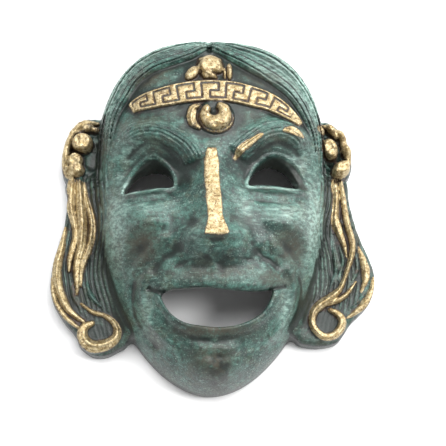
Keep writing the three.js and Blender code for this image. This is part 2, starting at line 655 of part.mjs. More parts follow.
function castMask() {
  let body = solid(headOutside());
  for (const part of raisedParts()) body = body.add(solid(part));
  for (const { pit, pitReach } of curls) {
    body = body.subtract(solid(bead(pit, [pitReach - 1.4, pitReach - 1.4, 2], sideHairHeight + 0.6)));
  }
  body = body.subtract(meander());
  for (const opening of openings()) body = body.subtract(solid(opening));
  // Everything under the back plane is cut away
  const depth = 20;
  const below = new THREE.BoxGeometry(4 * chinReach, 4 * chinReach, depth).translate(0, 0, -depth / 2);
  body = body.subtract(solid(below));
  const { vertProperties, triVerts } = body.getMesh();
  const geometry = new THREE.BufferGeometry();
  geometry.setAttribute('position', new THREE.BufferAttribute(new Float32Array(vertProperties), 3));
  geometry.setIndex([...triVerts]);
  geometry.computeBoundingBox();
  const middle = geometry.boundingBox.getCenter(new THREE.Vector3());
  geometry.translate(-middle.x, -middle.y, 0);
  geometry.computeVertexNormals();
  return geometry;
}

const bronze = new THREE.MeshStandardMaterial({ color: 0x5a7a70, roughness: 0.55, metalness: 0.6 });
const mask = new THREE.Mesh(castMask(), bronze);
mask.name = 'mask';

const model = new THREE.Group();
model.add(mask);

export default model;
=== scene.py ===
import math
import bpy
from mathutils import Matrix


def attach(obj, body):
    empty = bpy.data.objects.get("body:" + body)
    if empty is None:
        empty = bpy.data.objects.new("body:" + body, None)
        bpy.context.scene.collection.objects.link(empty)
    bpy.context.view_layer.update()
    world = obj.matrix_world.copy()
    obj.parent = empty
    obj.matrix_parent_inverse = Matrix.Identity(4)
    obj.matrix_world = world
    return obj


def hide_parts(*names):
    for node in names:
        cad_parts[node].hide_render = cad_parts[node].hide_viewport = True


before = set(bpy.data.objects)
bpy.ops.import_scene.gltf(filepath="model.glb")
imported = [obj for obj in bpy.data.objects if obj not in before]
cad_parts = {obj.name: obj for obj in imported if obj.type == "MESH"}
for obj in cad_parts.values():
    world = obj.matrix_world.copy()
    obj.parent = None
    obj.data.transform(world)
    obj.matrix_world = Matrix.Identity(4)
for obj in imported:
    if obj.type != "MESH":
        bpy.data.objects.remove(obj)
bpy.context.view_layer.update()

from types import SimpleNamespace

import bpy
import numpy as np
from mathutils import Matrix, Vector

# A small hollow bronze wall mask of a laughing player of Greek comedy, lying face up on its
# open back. The whole casting is sculpted as one solid field in millimetres: x runs across
# the face, y towards the crown, z out of the face, left and right are those of the viewer.
MM = 0.001

# Reach of the plan and of its layers, and their steps
PLAN_X = (-66.5, 67.5)
PLAN_Y = (-73.5, 76.5)
HEIGHTS = (-1.5, 52.5)
CELL = 0.34
LAYER = 1.0
MOST_TRIANGLES = 190000
# the middle of the part lies at this place of the sculpted plan
CENTRE = (0.53, 1.69)

# The head is a domed oval, open at the back
WALL = 3.5
HEAD_MIDDLE = (-0.5, 10.0)
HALF_WIDTH = 46.5
CROWN_REACH = 62.5
CHIN_REACH = 79.2
CROWN_SQUARENESS = 2.7
CHIN_SQUARENESS = 1.87
DOME_HEIGHT = 36.0

HAIR_RISE = 3.0
SIDE_HAIR_HEIGHT = 8.2
ORNAMENT_HEIGHT = 9.0
# the sides lean in by this share of their height
DRAFT = 0.06

# The band and the key meander sunk in it, with the plain metal before and after it
BAND_RISE = 1.7
KEY_START = 1.2
KEY_END = 4.0
KEY_PITCH = 9.2
KEY_LINE = 0.36
KEY_DEPTH = 0.8
KEY_MARGIN = 1.3

NOSE_ROOT = 21.0
NOSE_TIP = -13.6
NOSE_RISE = 11.4

# From this height on the eye holes widen over this depth
LID_FOOT = 20.5
LID_DEPTH = 8.0

# Clouds of the patina: size in mm, detail, roughness. Grain, pits and pores are finer on real
# bronze and drawn as coarse as they need to show.
CLOUDS = {
    "drift": (13.0, 3.0, 0.6),
    "olive": (6.0, 3.0, 0.6),
    "blots": (2.4, 4.0, 0.7),
    "grain": (0.6, 2.0, 0.75),
    "rust": (1.6, 4.0, 0.7),
    "broad wear": (3.5, 2.0, 0.6),
    "fine wear": (0.9, 3.0, 0.7),
    "tarnish": (1.4, 3.0, 0.6),
    "scorch": (2.4, 3.0, 0.7),
    "pits": (0.8, 3.0, 0.7),
    "pores": (0.5, 2.0, 0.7),
    "key dirt": (4.0, 3.0, 0.6),
}

# Streaks, about 1.1 mm wide and 5 mm long, that rubbing has left at a slant across the face
STREAKS_PER_MM = 0.9
STREAK_STRETCH = (0.22, 1.0, 0.6)
STREAK_SLANT = (0.0, 0.0, 0.35)

# How much the clouds of wear uncover the raised parts, and how much the gilding withstands
WEAR = {"broad wear": 0.7, "fine wear": 0.8}
WEAR_LEVEL = 0.78

# Values that run with a pattern: the pattern, from where to where, the value at either end
RUNS = {
    "rusted": ("rust", 0.26, 0.52, 0.0, 1.0),
    "on crests": ("sunk", -0.04, -0.45, 0.0, 1.0),
    "in streaks": ("streaks", 0.4, 0.64, 0.2, 0.85),
    "polish": ("worn", 0.4, 0.6, 0.0, 1.0),
    "in keys": ("key", 0.1, 0.6, 0.0, 1.0),
    "dirty": ("key dirt", 0.36, 0.54, 0.45, 0.95),
    "dullness": ("grain", 0.3, 0.7, 0.42, 0.3),
    "relief": ("worn", 0.3, 0.6, 1.0, 0.5),
}

# Colours under the coats and between them
DARK_GREEN = 0x213E38
THIN_AND_SHADED_BROWN = 0x39362B
PALE_WORN_AND_LIT_GREEN = 0x9EBBB0
OLD_GOLD = 0x9E8B63
KEY_BROWN = 0x34261C
PAPER_WHITE = 0xF4F4F4

# Coats of colour over one another: the pattern, from where to where, cover, colour
# drifting greens with dark and pale blots, streaks and grain
GREEN_COATS = [
    ("drift", 0.38, 0.62, 1.0, 0x3D645A),
    ("olive", 0.5, 0.64, 0.65, 0x434C3E),
    ("blots", 0.49, 0.64, 0.9, 0x1B2926),
    ("blots", 0.45, 0.3, 0.6, 0x72968B),
    ("streaks", 0.57, 0.75, 0.5, 0x82A397),
    ("streaks", 0.47, 0.3, 0.75, 0x1B2B28),
    ("grain", 0.57, 0.75, 0.5, 0xA8C0B4),
    ("grain", 0.5, 0.36, 0.7, 0x101815),
]
# black in the hollows, as dirt and as painted shade, and a scorched brown fringe around the bare metal
DARK_COATS = [
    ("sunk", 0.02, 0.4, 0.9, 0x101815),
    ("worn", 0.12, 0.4, 0.8, 0x43302A),
]
# tarnished golden metal with brown stains, pits and pores, dark where it is sunk, as dirt and as painted
# shade
GOLD_COATS = [
    ("tarnish", 0.35, 0.65, 1.0, 0xCCBD99),
    ("scorch", 0.54, 0.68, 0.6, 0x6A5036),
    ("pits", 0.54, 0.64, 0.8, 0x5A4029),
    ("pores", 0.58, 0.68, 0.85, 0x2A1C10),
    ("sunk", 0.05, 0.4, 0.9, 0x2C1D14),
]

# The surface: polished metal is not quite bare, and rougher than the patina, as rust is
POLISH_METAL = 0.85
POLISH_ROUGHNESS = 0.18
RUST_ROUGHNESS = 0.25
PALE_STRENGTH = 0.8
PIT_DEPTH = 0.3
PIT_STRENGTH = 0.55

# Lamps around the mask: place and size in metres, power in watts
LAMPS = {
    "key": ((0.1, 0.55, 0.72), 1.0, 5.6),
    "side": ((0.6, -0.02, 0.7), 0.25, 4.8),
    "fill": ((-0.45, 0.35, 0.75), 0.6, 3.0),
    "rim": ((0.55, 0.45, 0.4), 0.35, 3.0),
    "top": ((0.12, 0.2, 0.9), 0.4, 3.0),
}
ROOM_LIGHT = 0.55
FLOOR_REACH = 2.0

# Camera a little below square on; distance and aim in mm, lens in mm of focal length
LENS = 100.0
CAMERA_SIDE = (-0.05, -0.208, 0.9768)
CAMERA_DISTANCE = 490.0
AIM_HEIGHT = 5.0
AIM_RIGHT = 4.23
AIM_DOWN = 1.07


# Shapes in the plan

def smooth(start, end, value):
    """0 up to a start and 1 from an end on, with a soft slope between them."""
    share = np.clip((value - start) / (end - start), 0.0, 1.0)
    return share * share * (3.0 - 2.0 * share)


def oval_distance(x, y, middle, reach, turn=0.0):
    """1 on the rim of an oval, 0 in its middle."""
    c, s = math.cos(math.radians(turn)), math.sin(math.radians(turn))
    along = ((x - middle[0]) * c + (y - middle[1]) * s) / reach[0]
    across = (-(x - middle[0]) * s + (y - middle[1]) * c) / reach[1]
    return np.hypot(along, across)


def swell(x, y, middle, reach, power=2.0, turn=0.0):
    """1 in the middle of an oval, falling to 0 around it."""
    return np.exp(-np.power(oval_distance(x, y, middle, reach, turn), power))


def ball(x, y, middle, reach, turn=0.0):
    """Height of half a ball of height 1 over an oval."""
    return np.sqrt(np.clip(1.0 - oval_distance(x, y, middle, reach, turn) ** 2, 0.0, 1.0))


def facets(x, y, middle, reach, count, turn):
    """1 in the middle of a many-sided pyramid, 0 at its foot."""
    angles = [math.radians(turn) + 2 * math.pi * i / count for i in range(count)]
    slopes = [
        (x - middle[0]) * math.cos(a) / reach[0] + (y - middle[1]) * math.sin(a) / reach[1]
        for a in angles
    ]
    return np.clip(1.0 - np.maximum.reduce(slopes), 0.0, 1.0)


def route(points, steps=8, closed=False):
    """A smooth line through a few points."""
    points = np.array(points, dtype=float)
    if closed:
        padded = np.vstack([points[-1], points, points[:2]])
    else:
        padded = np.vstack([2 * points[0] - points[1], points, 2 * points[-1] - points[-2]])
    t = np.linspace(0.0, 1.0, steps, endpoint=False)[:, None]
    line = []
    for a, b, c, d in zip(padded, padded[1:], padded[2:], padded[3:]):
        bend = 2 * a - 5 * b + 4 * c - d + t * (3 * (b - c) + d - a)
        line.append(b + 0.5 * t * (c - a + t * bend))
    line = np.vstack(line)
    return line if closed else np.vstack([line, points[-1]])


def nearest(x, y, line, reach, closed=False):
    """Distance to a line, share along it and side of it, for points within reach."""
    away = np.full(x.shape, 1e3)
    share = np.zeros(x.shape)
    side = np.zeros(x.shape)
    low, high = line.min(axis=0) - reach, line.max(axis=0) + reach
    window = np.ix_(
        (x[:, 0] >= low[0]) & (x[:, 0] <= high[0]),
        (y[0, :] >= low[1]) & (y[0, :] <= high[1]),
    )
    px, py = x[window], y[window]
    best, where, left = np.full(px.shape, 1e3), np.zeros(px.shape), np.zeros(px.shape)
    starts = line if closed else line[:-1]
    ends = np.vstack([line[1:], line[:1]]) if closed else line[1:]
    for i, (start, end) in enumerate(zip(starts, ends)):
        run = end - start
        part = np.clip(((px - start[0]) * run[0] + (py - start[1]) * run[1]) / (run @ run), 0.0, 1.0)
        dx, dy = px - start[0] - part * run[0], py - start[1] - part * run[1]
        distance = np.hypot(dx, dy)
        closer = distance < best
        best = np.where(closer, distance, best)
        where = np.where(closer, (i + part) / len(starts), where)
        left = np.where(closer, np.sign(run[0] * dy - run[1] * dx), left)
    away[window], share[window], side[window] = best, where, left
    return away, share, side


def inside_by(x, y, points, reach):
    """Distance inside a closed smooth outline, negative outside it, up to a reach."""
    outline = route(points, closed=True)
    within = np.zeros(x.shape, dtype=bool)
    for a, b in zip(outline, np.vstack([outline[1:], outline[:1]])):
        if a[1] == b[1]:
            continue
        crosses = (a[1] > y) != (b[1] > y)
        within ^= crosses & (x < a[0] + (y - a[1]) / (b[1] - a[1]) * (b[0] - a[0]))
    away, _, _ = nearest(x, y, outline, reach, closed=True)
    away = np.minimum(away, reach)
    return np.where(within, away, -away)


def pillow(x, y, points, rounding):
    """1 on a cushion within an outline, rounded down to 0 at its edge."""
    depth = np.clip(inside_by(x, y, points, rounding) / rounding, 0.0, 1.0)
    return np.power(depth * (2.0 - depth), 0.8)


def ridge(x, y, points, widths, groove=0.0):
    """Round ridge along a route with half widths along it, grooved lengthwise: height from 0
    to 1, size and share of the way."""
    away, share, side = nearest(x, y, route(points), max(widths) + 1.0)
    half = np.interp(share, np.linspace(0.0, 1.0, len(widths)), widths)
    turns = 1.1 * away * side / half + 0.8 * share + 0.2
    combed = 1.0 - groove * np.abs(np.cos(np.pi * turns)) ** 3
    return combed * np.sqrt(np.clip(1.0 - (away / half) ** 2, 0.0, 1.0)), half / max(widths), share


def carved(x, y, points, half, rise, fade=0.18):
    """A soft line raised or sunk along a route, fading at its ends."""
    away, share, _ = nearest(x, y, route(points), 3.2 * half)
    line = rise * np.exp(-((away / half) ** 2))
    return line * smooth(0.0, fade, share) * smooth(1.0, 1.0 - fade, share)


def blur(field, size, least=1):
    """Field averaged over a size in mm, and at least over a few cells."""
    reach = max(least, round(size / CELL))
    taps = np.exp(-0.5 * (np.arange(-2 * reach, 2 * reach + 1) / reach) ** 2)
    taps /= taps.sum()
    for axis in (0, 1):
        margins = [(2 * reach, 2 * reach) if a == axis else (0, 0) for a in (0, 1)]
        padded = np.pad(field, margins, "edge")
        length = field.shape[axis]
        field = sum(w * np.take(padded, range(i, i + length), axis=axis) for i, w in enumerate(taps))
    return field


def waves(x, y, size, seed):
    """Soft irregular ups and downs between -1 and 1, of a size in mm."""
    lattice = np.random.default_rng(seed).uniform(-1.0, 1.0, (200, 200))
    u, v = (x + 90.0) / size, (y + 90.0) / size
    i, j = np.floor(u).astype(int), np.floor(v).astype(int)
    a, b = smooth(0.0, 1.0, u - i), smooth(0.0, 1.0, v - j)
    low = lattice[i % 200, j % 200] * (1 - a) + lattice[(i + 1) % 200, j % 200] * a
    high = lattice[i % 200, (j + 1) % 200] * (1 - a) + lattice[(i + 1) % 200, (j + 1) % 200] * a
    return low * (1 - b) + high * b


def sample(field, x, y, points):
    """Field read at points of the plan."""
    step = x[1, 0] - x[0, 0]
    u = np.clip((points[:, 0] - x[0, 0]) / step, 0, field.shape[0] - 1.001)
    v = np.clip((points[:, 1] - y[0, 0]) / step, 0, field.shape[1] - 1.001)
    i, j = u.astype(int), v.astype(int)
    a, b = u - i, v - j
    return (field[i, j] * (1 - a) * (1 - b) + field[i + 1, j] * a * (1 - b)
            + field[i, j + 1] * (1 - a) * b + field[i + 1, j + 1] * a * b)


# Lines of the design, drawn in the plan

MOUTH = [
    (-19.7, -34.0), (-17.1, -32.2), (-12.2, -31.8), (-7.4, -31.6), (-2.8, -31.5), (4.2, -32.1),
    (9.0, -32.4), (16.2, -32.2), (20.8, -31.4), (21.3, -32.9), (20.3, -35.7), (18.0, -39.3),
    (14.1, -42.2), (9.3, -44.3), (4.5, -45.3), (-0.6, -45.6), (-5.3, -45.0), (-9.5, -44.3),
    (-13.2, -42.8), (-16.5, -40.2), (-19.0, -36.6),
]

UPPER_LIP = [
    (-24.2, -31.0), (-21.4, -28.2), (-18.5, -26.2), (-14.9, -24.2), (-10.5, -22.4), (-6.4, -21.5),
    (-3.5, -21.2), (-0.9, -22.4), (1.5, -23.3), (5.3, -21.2), (9.4, -21.1), (14.3, -21.4),
    (18.5, -22.2), (22.8, -23.8), (25.9, -26.8), (27.0, -30.0), (21.0, -33.0), (9.0, -34.0),
    (-7.4, -33.4), (-19.0, -34.0),
]

LOWER_LIP = [
    (-23.4, -32.4), (-21.5, -36.5), (-19.3, -40.4), (-16.0, -44.2), (-12.1, -47.0), (-8.0, -48.7),
    (-4.7, -49.4), (-0.6, -49.5), (4.5, -48.6), (9.4, -47.7), (14.1, -46.0), (18.9, -43.0),
    (22.3, -39.4), (24.8, -35.1), (25.8, -31.0), (21.6, -31.4), (19.4, -35.0), (16.8, -39.0),
    (12.6, -41.8), (4.3, -44.0), (-5.3, -43.6), (-12.4, -41.4), (-15.6, -38.8), (-18.4, -35.2),
]

# Each eye is a hole with a wider slanting lid in front of it
EYES = [
    {
        "middle": (-24.0, 13.0),
        "hole": [(-34.0, 5.2), (-28.4, 6.3), (-22.6, 7.0), (-16.8, 7.1), (-16.5, 8.8), (-17.2, 11.4),
                 (-20.4, 13.2), (-25.2, 13.9), (-28.8, 13.0), (-32.0, 9.6)],
        "lid": [(-34.4, 5.0), (-28.4, 6.1), (-22.0, 6.8), (-16.2, 6.9), (-15.9, 10.6), (-17.7, 14.2),
                (-20.8, 17.2), (-23.6, 18.5), (-26.8, 17.4), (-30.6, 13.8), (-33.6, 9.2)],
        "lower_lid": [(-35.4, 3.2), (-28.4, 3.6), (-23.7, 4.2), (-16.8, 4.6)],
        "bag": [(-35.0, 0.8), (-28.4, 0.6), (-23.7, 1.3), (-17.5, 2.0)],
    },
    {
        "middle": (23.5, 14.0),
        "hole": [(13.2, 7.8), (17.8, 8.1), (24.5, 8.3), (30.9, 8.2), (29.8, 11.4), (27.9, 14.5),
                 (24.4, 16.2), (19.7, 15.9), (15.8, 13.3), (13.6, 10.2)],
        "lid": [(12.6, 8.0), (17.2, 8.4), (23.0, 8.6), (30.0, 8.2), (35.6, 7.4), (34.4, 11.4),
                (32.3, 15.6), (28.8, 18.6), (24.6, 19.8), (20.6, 19.3), (17.2, 16.8), (14.3, 13.2)],
        "lower_lid": [(11.5, 5.0), (17.0, 4.8), (24.0, 4.7), (31.0, 4.9), (37.2, 5.6)],
        "bag": [(11.5, 2.2), (17.0, 1.2), (23.8, 0.8), (31.0, 1.6), (36.8, 3.2)],
    },
]

# Lumps and hollows of the laughing face: middle, reach, rise, power
LUMPS = [
    ((-1.0, 24.0), (9.0, 9.0), 2.0, 2.0), ((-11.0, 12.0), (5.0, 8.0), -1.2, 2.0),
    ((9.5, 12.0), (5.0, 8.0), -1.2, 2.0), ((-26.6, -16.5), (5.2, 5.0), -1.6, 2.0),
    ((27.4, -16.5), (5.2, 5.0), -1.6, 2.0),
    # two lumps of the chin with a furrow between them
    ((-6.0, -56.5), (3.6, 5.0), 0.9, 3.0), ((7.0, -57.0), (4.0, 5.5), 0.7, 3.0),
    ((0.5, -58.0), (2.2, 5.5), -0.7, 3.0), ((4.0, -53.8), (5.5, 1.7), 0.5, 3.0),
    ((-10.8, -49.6), (4.6, 1.9), 0.6, 2.0), ((11.8, -49.4), (4.6, 1.9), 0.6, 2.0),
    # small lumps of the cheeks
    ((-22.5, -16.3), (1.5, 1.4), 0.7, 2.0), ((-28.2, -21.1), (1.5, 1.4), 0.7, 2.0),
    ((-30.0, -26.3), (1.5, 1.4), 0.7, 2.0), ((22.0, -17.0), (1.5, 1.4), 0.7, 2.0),
    ((16.5, -15.0), (1.5, 1.4), 0.7, 2.0),
]

BROWS = [
    [(-7.6, 15.0), (-9.4, 18.8), (-12.2, 22.3), (-16.7, 25.4), (-21.2, 27.6), (-27.2, 28.4),
     (-32.5, 27.2), (-36.0, 24.8)],
    [(7.6, 17.8), (10.0, 21.2), (13.6, 24.2), (18.4, 27.8), (24.0, 29.8), (29.2, 29.2), (33.4, 26.8),
     (35.6, 23.6)],
]
BROW_PATCH = [
    (25.1, 28.3), (26.4, 30.1), (28.9, 31.0), (31.9, 30.3), (34.2, 27.4), (31.8, 26.9), (28.8, 27.4),
]
BROW_SLIVER = [(7.2, 17.4), (8.8, 19.8), (11.4, 22.2), (14.4, 24.4), (17.4, 26.4)]

HAIRLINE = [
    (-2.1, 65.5), (-6.3, 60.6), (-10.0, 58.2), (-17.4, 55.3), (-23.8, 52.8), (-29.1, 48.8),
    (-33.4, 42.0), (-36.4, 36.6), (-38.4, 30.0), (-39.8, 18.0), (-39.8, 4.0), (-40.4, -10.0),
    (-39.6, -22.0), (-37.6, -32.0), (-35.0, -41.0), (-31.0, -50.0), (-22.0, -64.0), (0.0, -78.0),
    (22.0, -64.0), (31.0, -50.0), (35.6, -40.0), (38.4, -30.0), (39.6, -18.0), (39.6, -4.0),
    (39.2, 10.0), (38.0, 22.0), (36.4, 30.0), (32.6, 36.6), (29.5, 41.2), (26.8, 44.2), (21.4, 47.8),
    (16.1, 51.0), (10.8, 54.2), (5.1, 58.4), (-1.1, 63.8),
]

BAND = [
    (-32.4, 38.3), (-30.2, 39.4), (-26.8, 40.5), (-20.5, 41.8), (-13.8, 43.1), (-6.5, 44.1),
    (0.5, 44.3), (7.5, 43.8), (14.7, 42.1), (19.5, 40.9), (24.2, 38.8), (28.0, 36.5), (31.2, 34.3),
    (33.0, 32.6),
]
BAND_WIDTHS = (2.2, 3.0, 3.8, 4.3, 4.5, 4.5, 4.5, 4.3, 3.8, 3.2, 2.2, 1.2)

# Wrinkles and creases of the laughing face: route, half width and rise
WRINKLES = [
    # under the lower lip and over the chin
    ([(-22.6, -36.5), (-19.4, -41.6), (-15.7, -45.4), (-10.8, -48.7), (-4.7, -50.5), (2.0, -50.3),
      (9.4, -48.8), (15.4, -46.6), (20.4, -42.8), (23.8, -38.8)], 1.1, -0.3),
    ([(-14.0, -50.2), (-9.4, -52.0), (-3.2, -53.0), (4.0, -52.8), (10.3, -52.2), (17.0, -50.4)],
     1.6, 0.6),
    ([(-14.0, -53.4), (-8.6, -55.4), (-2.0, -56.2), (6.1, -55.8), (12.0, -55.0), (17.0, -53.0)],
     1.3, -0.35),
    # corners of the mouth
    ([(-17.6, -32.8), (-20.0, -32.6), (-23.6, -31.5), (-25.4, -30.4)], 1.1, -1.4),
    ([(19.4, -31.8), (21.4, -31.3), (25.2, -30.0), (27.2, -29.0)], 1.0, -1.2),
    # folds around them
    ([(-22.0, -21.0), (-25.4, -25.4), (-27.4, -30.6), (-27.0, -36.6), (-24.4, -42.8), (-21.1, -47.2),
      (-16.6, -51.0), (-11.0, -54.6)], 1.3, 1.2),
    ([(-29.0, -25.0), (-30.4, -31.0), (-30.2, -38.0), (-27.2, -45.0), (-22.8, -50.4), (-16.6, -55.0)],
     1.3, -1.2),
    ([(24.5, -20.0), (28.4, -24.4), (30.6, -30.0), (29.4, -36.8), (26.4, -42.8), (22.5, -47.4),
      (16.5, -51.8)], 1.4, 1.2),
    ([(30.5, -22.0), (33.6, -29.0), (32.6, -36.8), (29.6, -43.4), (25.0, -49.0), (18.4, -53.8)],
     1.3, -1.2),
    # from the wings of the nose to the cheeks
    ([(-11.8, -15.4), (-15.8, -18.6), (-20.4, -22.4), (-24.6, -27.6)], 1.8, -0.8),
    ([(13.8, -16.4), (17.2, -19.6), (21.0, -21.6), (25.4, -24.4)], 1.6, -0.9),
    ([(-16.0, -11.6), (-22.5, -16.0), (-27.4, -20.4), (-30.0, -26.0)], 1.6, 1.0),
    ([(18.0, -12.6), (22.4, -15.4), (27.4, -20.0), (30.6, -25.0)], 1.5, 0.8),
    # upper rims of the cheeks
    ([(-33.4, -26.5), (-34.3, -19.0), (-33.2, -13.0), (-29.4, -9.0), (-23.0, -7.3), (-15.5, -7.6)],
     2.0, 1.1),
    ([(35.6, -27.0), (36.6, -19.0), (34.4, -12.0), (29.0, -8.4), (22.0, -6.6), (16.0, -6.8)], 2.0, 1.1),
    # over the lids
    ([(-35.0, 17.0), (-31.0, 21.4), (-25.4, 24.0), (-19.4, 22.4), (-14.0, 17.6)], 1.3, -0.7),
    ([(12.6, 18.4), (17.4, 22.2), (23.4, 24.6), (29.8, 23.4), (35.0, 18.0)], 1.3, -0.7),
    # edges of the wings of the nose
    ([(-6.6, -11.6), (-8.6, -14.0), (-10.4, -17.0), (-10.2, -20.0)], 0.9, 0.9),
    ([(6.0, -11.0), (8.8, -13.0), (11.4, -15.4), (12.4, -18.6)], 0.9, 0.9),
]

SIDE_HAIR = [
    [(-57.2, 14.6), (-57.4, 7.0), (-58.6, -4.0), (-61.6, -15.0), (-63.2, -25.5), (-61.9, -33.5),
     (-57.6, -40.8), (-53.0, -46.2), (-50.8, -50.8), (-46.3, -54.1), (-41.1, -54.5), (-36.6, -52.4),
     (-32.4, -49.2), (-28.0, -38.0), (-32.0, -18.0), (-36.0, 2.0), (-40.0, 16.0)],
    [(52.6, 17.4), (54.9, 6.6), (57.6, -3.8), (60.6, -11.4), (63.6, -19.0), (64.0, -26.0),
     (61.2, -34.0), (54.8, -40.6), (51.8, -45.0), (48.9, -48.6), (44.0, -50.2), (38.0, -50.2),
     (32.6, -48.2), (27.0, -38.0), (31.0, -18.0), (35.0, 2.0), (38.0, 17.0)],
]

# Locks of the side hair, curls included: route, half widths along it, rise, gilding
LOCKS = [
    ([(-50.6, 13.6), (-49.6, 7.0), (-48.0, 1.3), (-47.0, -3.6), (-47.2, -8.1), (-48.2, -13.1),
      (-49.8, -17.5), (-50.8, -22.0), (-50.8, -27.4)], (0.6, 1.5, 1.9, 1.9, 1.7, 1.3, 0.5), 3.8, 0.7),
    ([(-52.6, 15.8), (-52.1, 9.4), (-51.5, 3.1), (-50.8, -2.3), (-50.7, -7.3), (-51.0, -12.2),
      (-52.1, -16.7), (-52.6, -21.1), (-52.4, -25.5), (-52.2, -30.4)],
     (1.5, 1.9, 2.3, 2.4, 2.3, 2.2, 2.0, 1.7, 1.3, 0.6), 5.0, 1.0),
    ([(-55.2, 15.4), (-55.6, 10.3), (-55.6, 4.8), (-54.7, 0.3), (-53.7, -4.2), (-53.4, -8.2),
      (-54.2, -12.2), (-55.2, -16.7), (-55.6, -21.5)], (1.6, 2.0, 2.0, 1.7, 1.4, 1.4, 1.6, 1.4, 0.7),
     4.2, 1.0),
    ([(-57.4, -4.5), (-58.6, -12.2), (-59.8, -17.6), (-60.2, -22.1), (-59.6, -26.5), (-58.3, -30.9),
      (-56.3, -35.2), (-53.4, -38.4), (-49.6, -41.0)], (0.7, 1.6, 2.0, 2.0, 1.8, 1.7, 1.3, 0.8),
     3.8, 1.0),
    ([(-62.0, -24.4), (-61.5, -30.0), (-60.0, -34.4), (-57.2, -38.6), (-54.0, -41.6), (-51.2, -43.6)],
     (0.6, 1.0, 1.1, 1.0, 0.6), 2.4, 0.9),
    ([(-50.6, -34.2), (-46.2, -37.4), (-41.7, -38.7), (-38.2, -41.2), (-36.5, -44.5), (-37.3, -47.6),
      (-40.6, -49.9), (-45.0, -50.8), (-48.3, -49.4), (-49.9, -46.4), (-49.0, -43.2), (-46.2, -41.8)],
     (0.5, 0.9, 1.0, 1.2, 1.6, 2.0, 2.4, 2.6, 2.6, 2.3, 1.9, 1.2), 4.0, 1.0),
    ([(48.4, 17.4), (48.3, 13.4), (48.8, 8.9), (48.5, 4.3), (48.2, 0.6), (48.7, -2.6), (50.3, -6.6),
      (51.7, -10.7), (52.6, -15.0)], (1.2, 1.7, 1.6, 1.5, 1.7, 2.2, 1.6, 1.1, 0.4), 4.0, 1.0),
    ([(50.4, 17.0), (51.3, 10.7), (52.1, 4.3), (53.1, -2.1), (54.4, -6.6), (54.9, -11.1), (54.2, -15.6),
      (52.7, -20.1), (51.2, -24.6), (49.3, -28.2), (45.7, -31.4), (42.1, -33.9), (39.4, -36.6),
      (38.5, -40.0), (39.5, -43.4), (42.9, -46.3), (46.9, -45.9), (49.8, -42.8), (50.2, -39.6),
      (48.2, -37.2), (45.6, -36.0)],
     (1.0, 1.3, 1.4, 1.4, 1.4, 1.1, 0.9, 1.1, 1.9, 2.1, 1.7, 1.5, 1.6, 1.8, 1.8, 1.5, 1.0), 4.4, 1.0),
    ([(56.2, -24.6), (52.4, -29.6), (48.8, -32.2), (44.6, -34.2)], (0.4, 0.9, 1.2, 0.6), 3.2, 0.9),
    ([(57.4, -11.0), (58.8, -15.4), (59.9, -20.0), (59.8, -24.0), (58.0, -28.6)],
     (0.5, 1.5, 1.9, 1.6, 0.6), 2.8, 0.8),
    ([(63.0, -23.0), (62.0, -28.6), (59.9, -32.6), (56.6, -36.0), (52.4, -39.0)],
     (0.5, 1.3, 1.7, 1.3, 0.5), 2.6, 1.0),
    # plain green strands between them
    ([(-48.6, -26.0), (-47.0, -31.0), (-43.4, -35.0)], (0.6, 1.2, 0.6), 2.6, 0.1),
    ([(-53.9, -26.0), (-53.6, -31.0), (-51.6, -35.0)], (0.5, 1.0, 0.5), 1.8, 0.25),
    ([(46.4, -4.0), (47.4, -12.0), (48.2, -20.0), (46.0, -27.0)], (0.6, 1.0, 1.0, 0.5), 1.9, 0.0),
    ([(50.0, -11.0), (51.0, -17.0), (49.0, -24.0)], (0.5, 0.9, 0.5), 1.9, 0.0),
    ([(56.4, -14.0), (56.6, -20.0), (54.0, -26.0)], (0.5, 0.9, 0.5), 1.7, 0.2),
    ([(61.6, -20.0), (61.0, -25.0), (58.0, -31.0), (54.0, -34.6)], (0.5, 0.9, 0.8, 0.5), 1.6, 0.2),
]

# Pits inside the curls: middle and reach
CURL_PITS = [((-43.4, -46.2), (4.6, 4.0)), ((44.6, -41.4), (3.8, 4.0))]

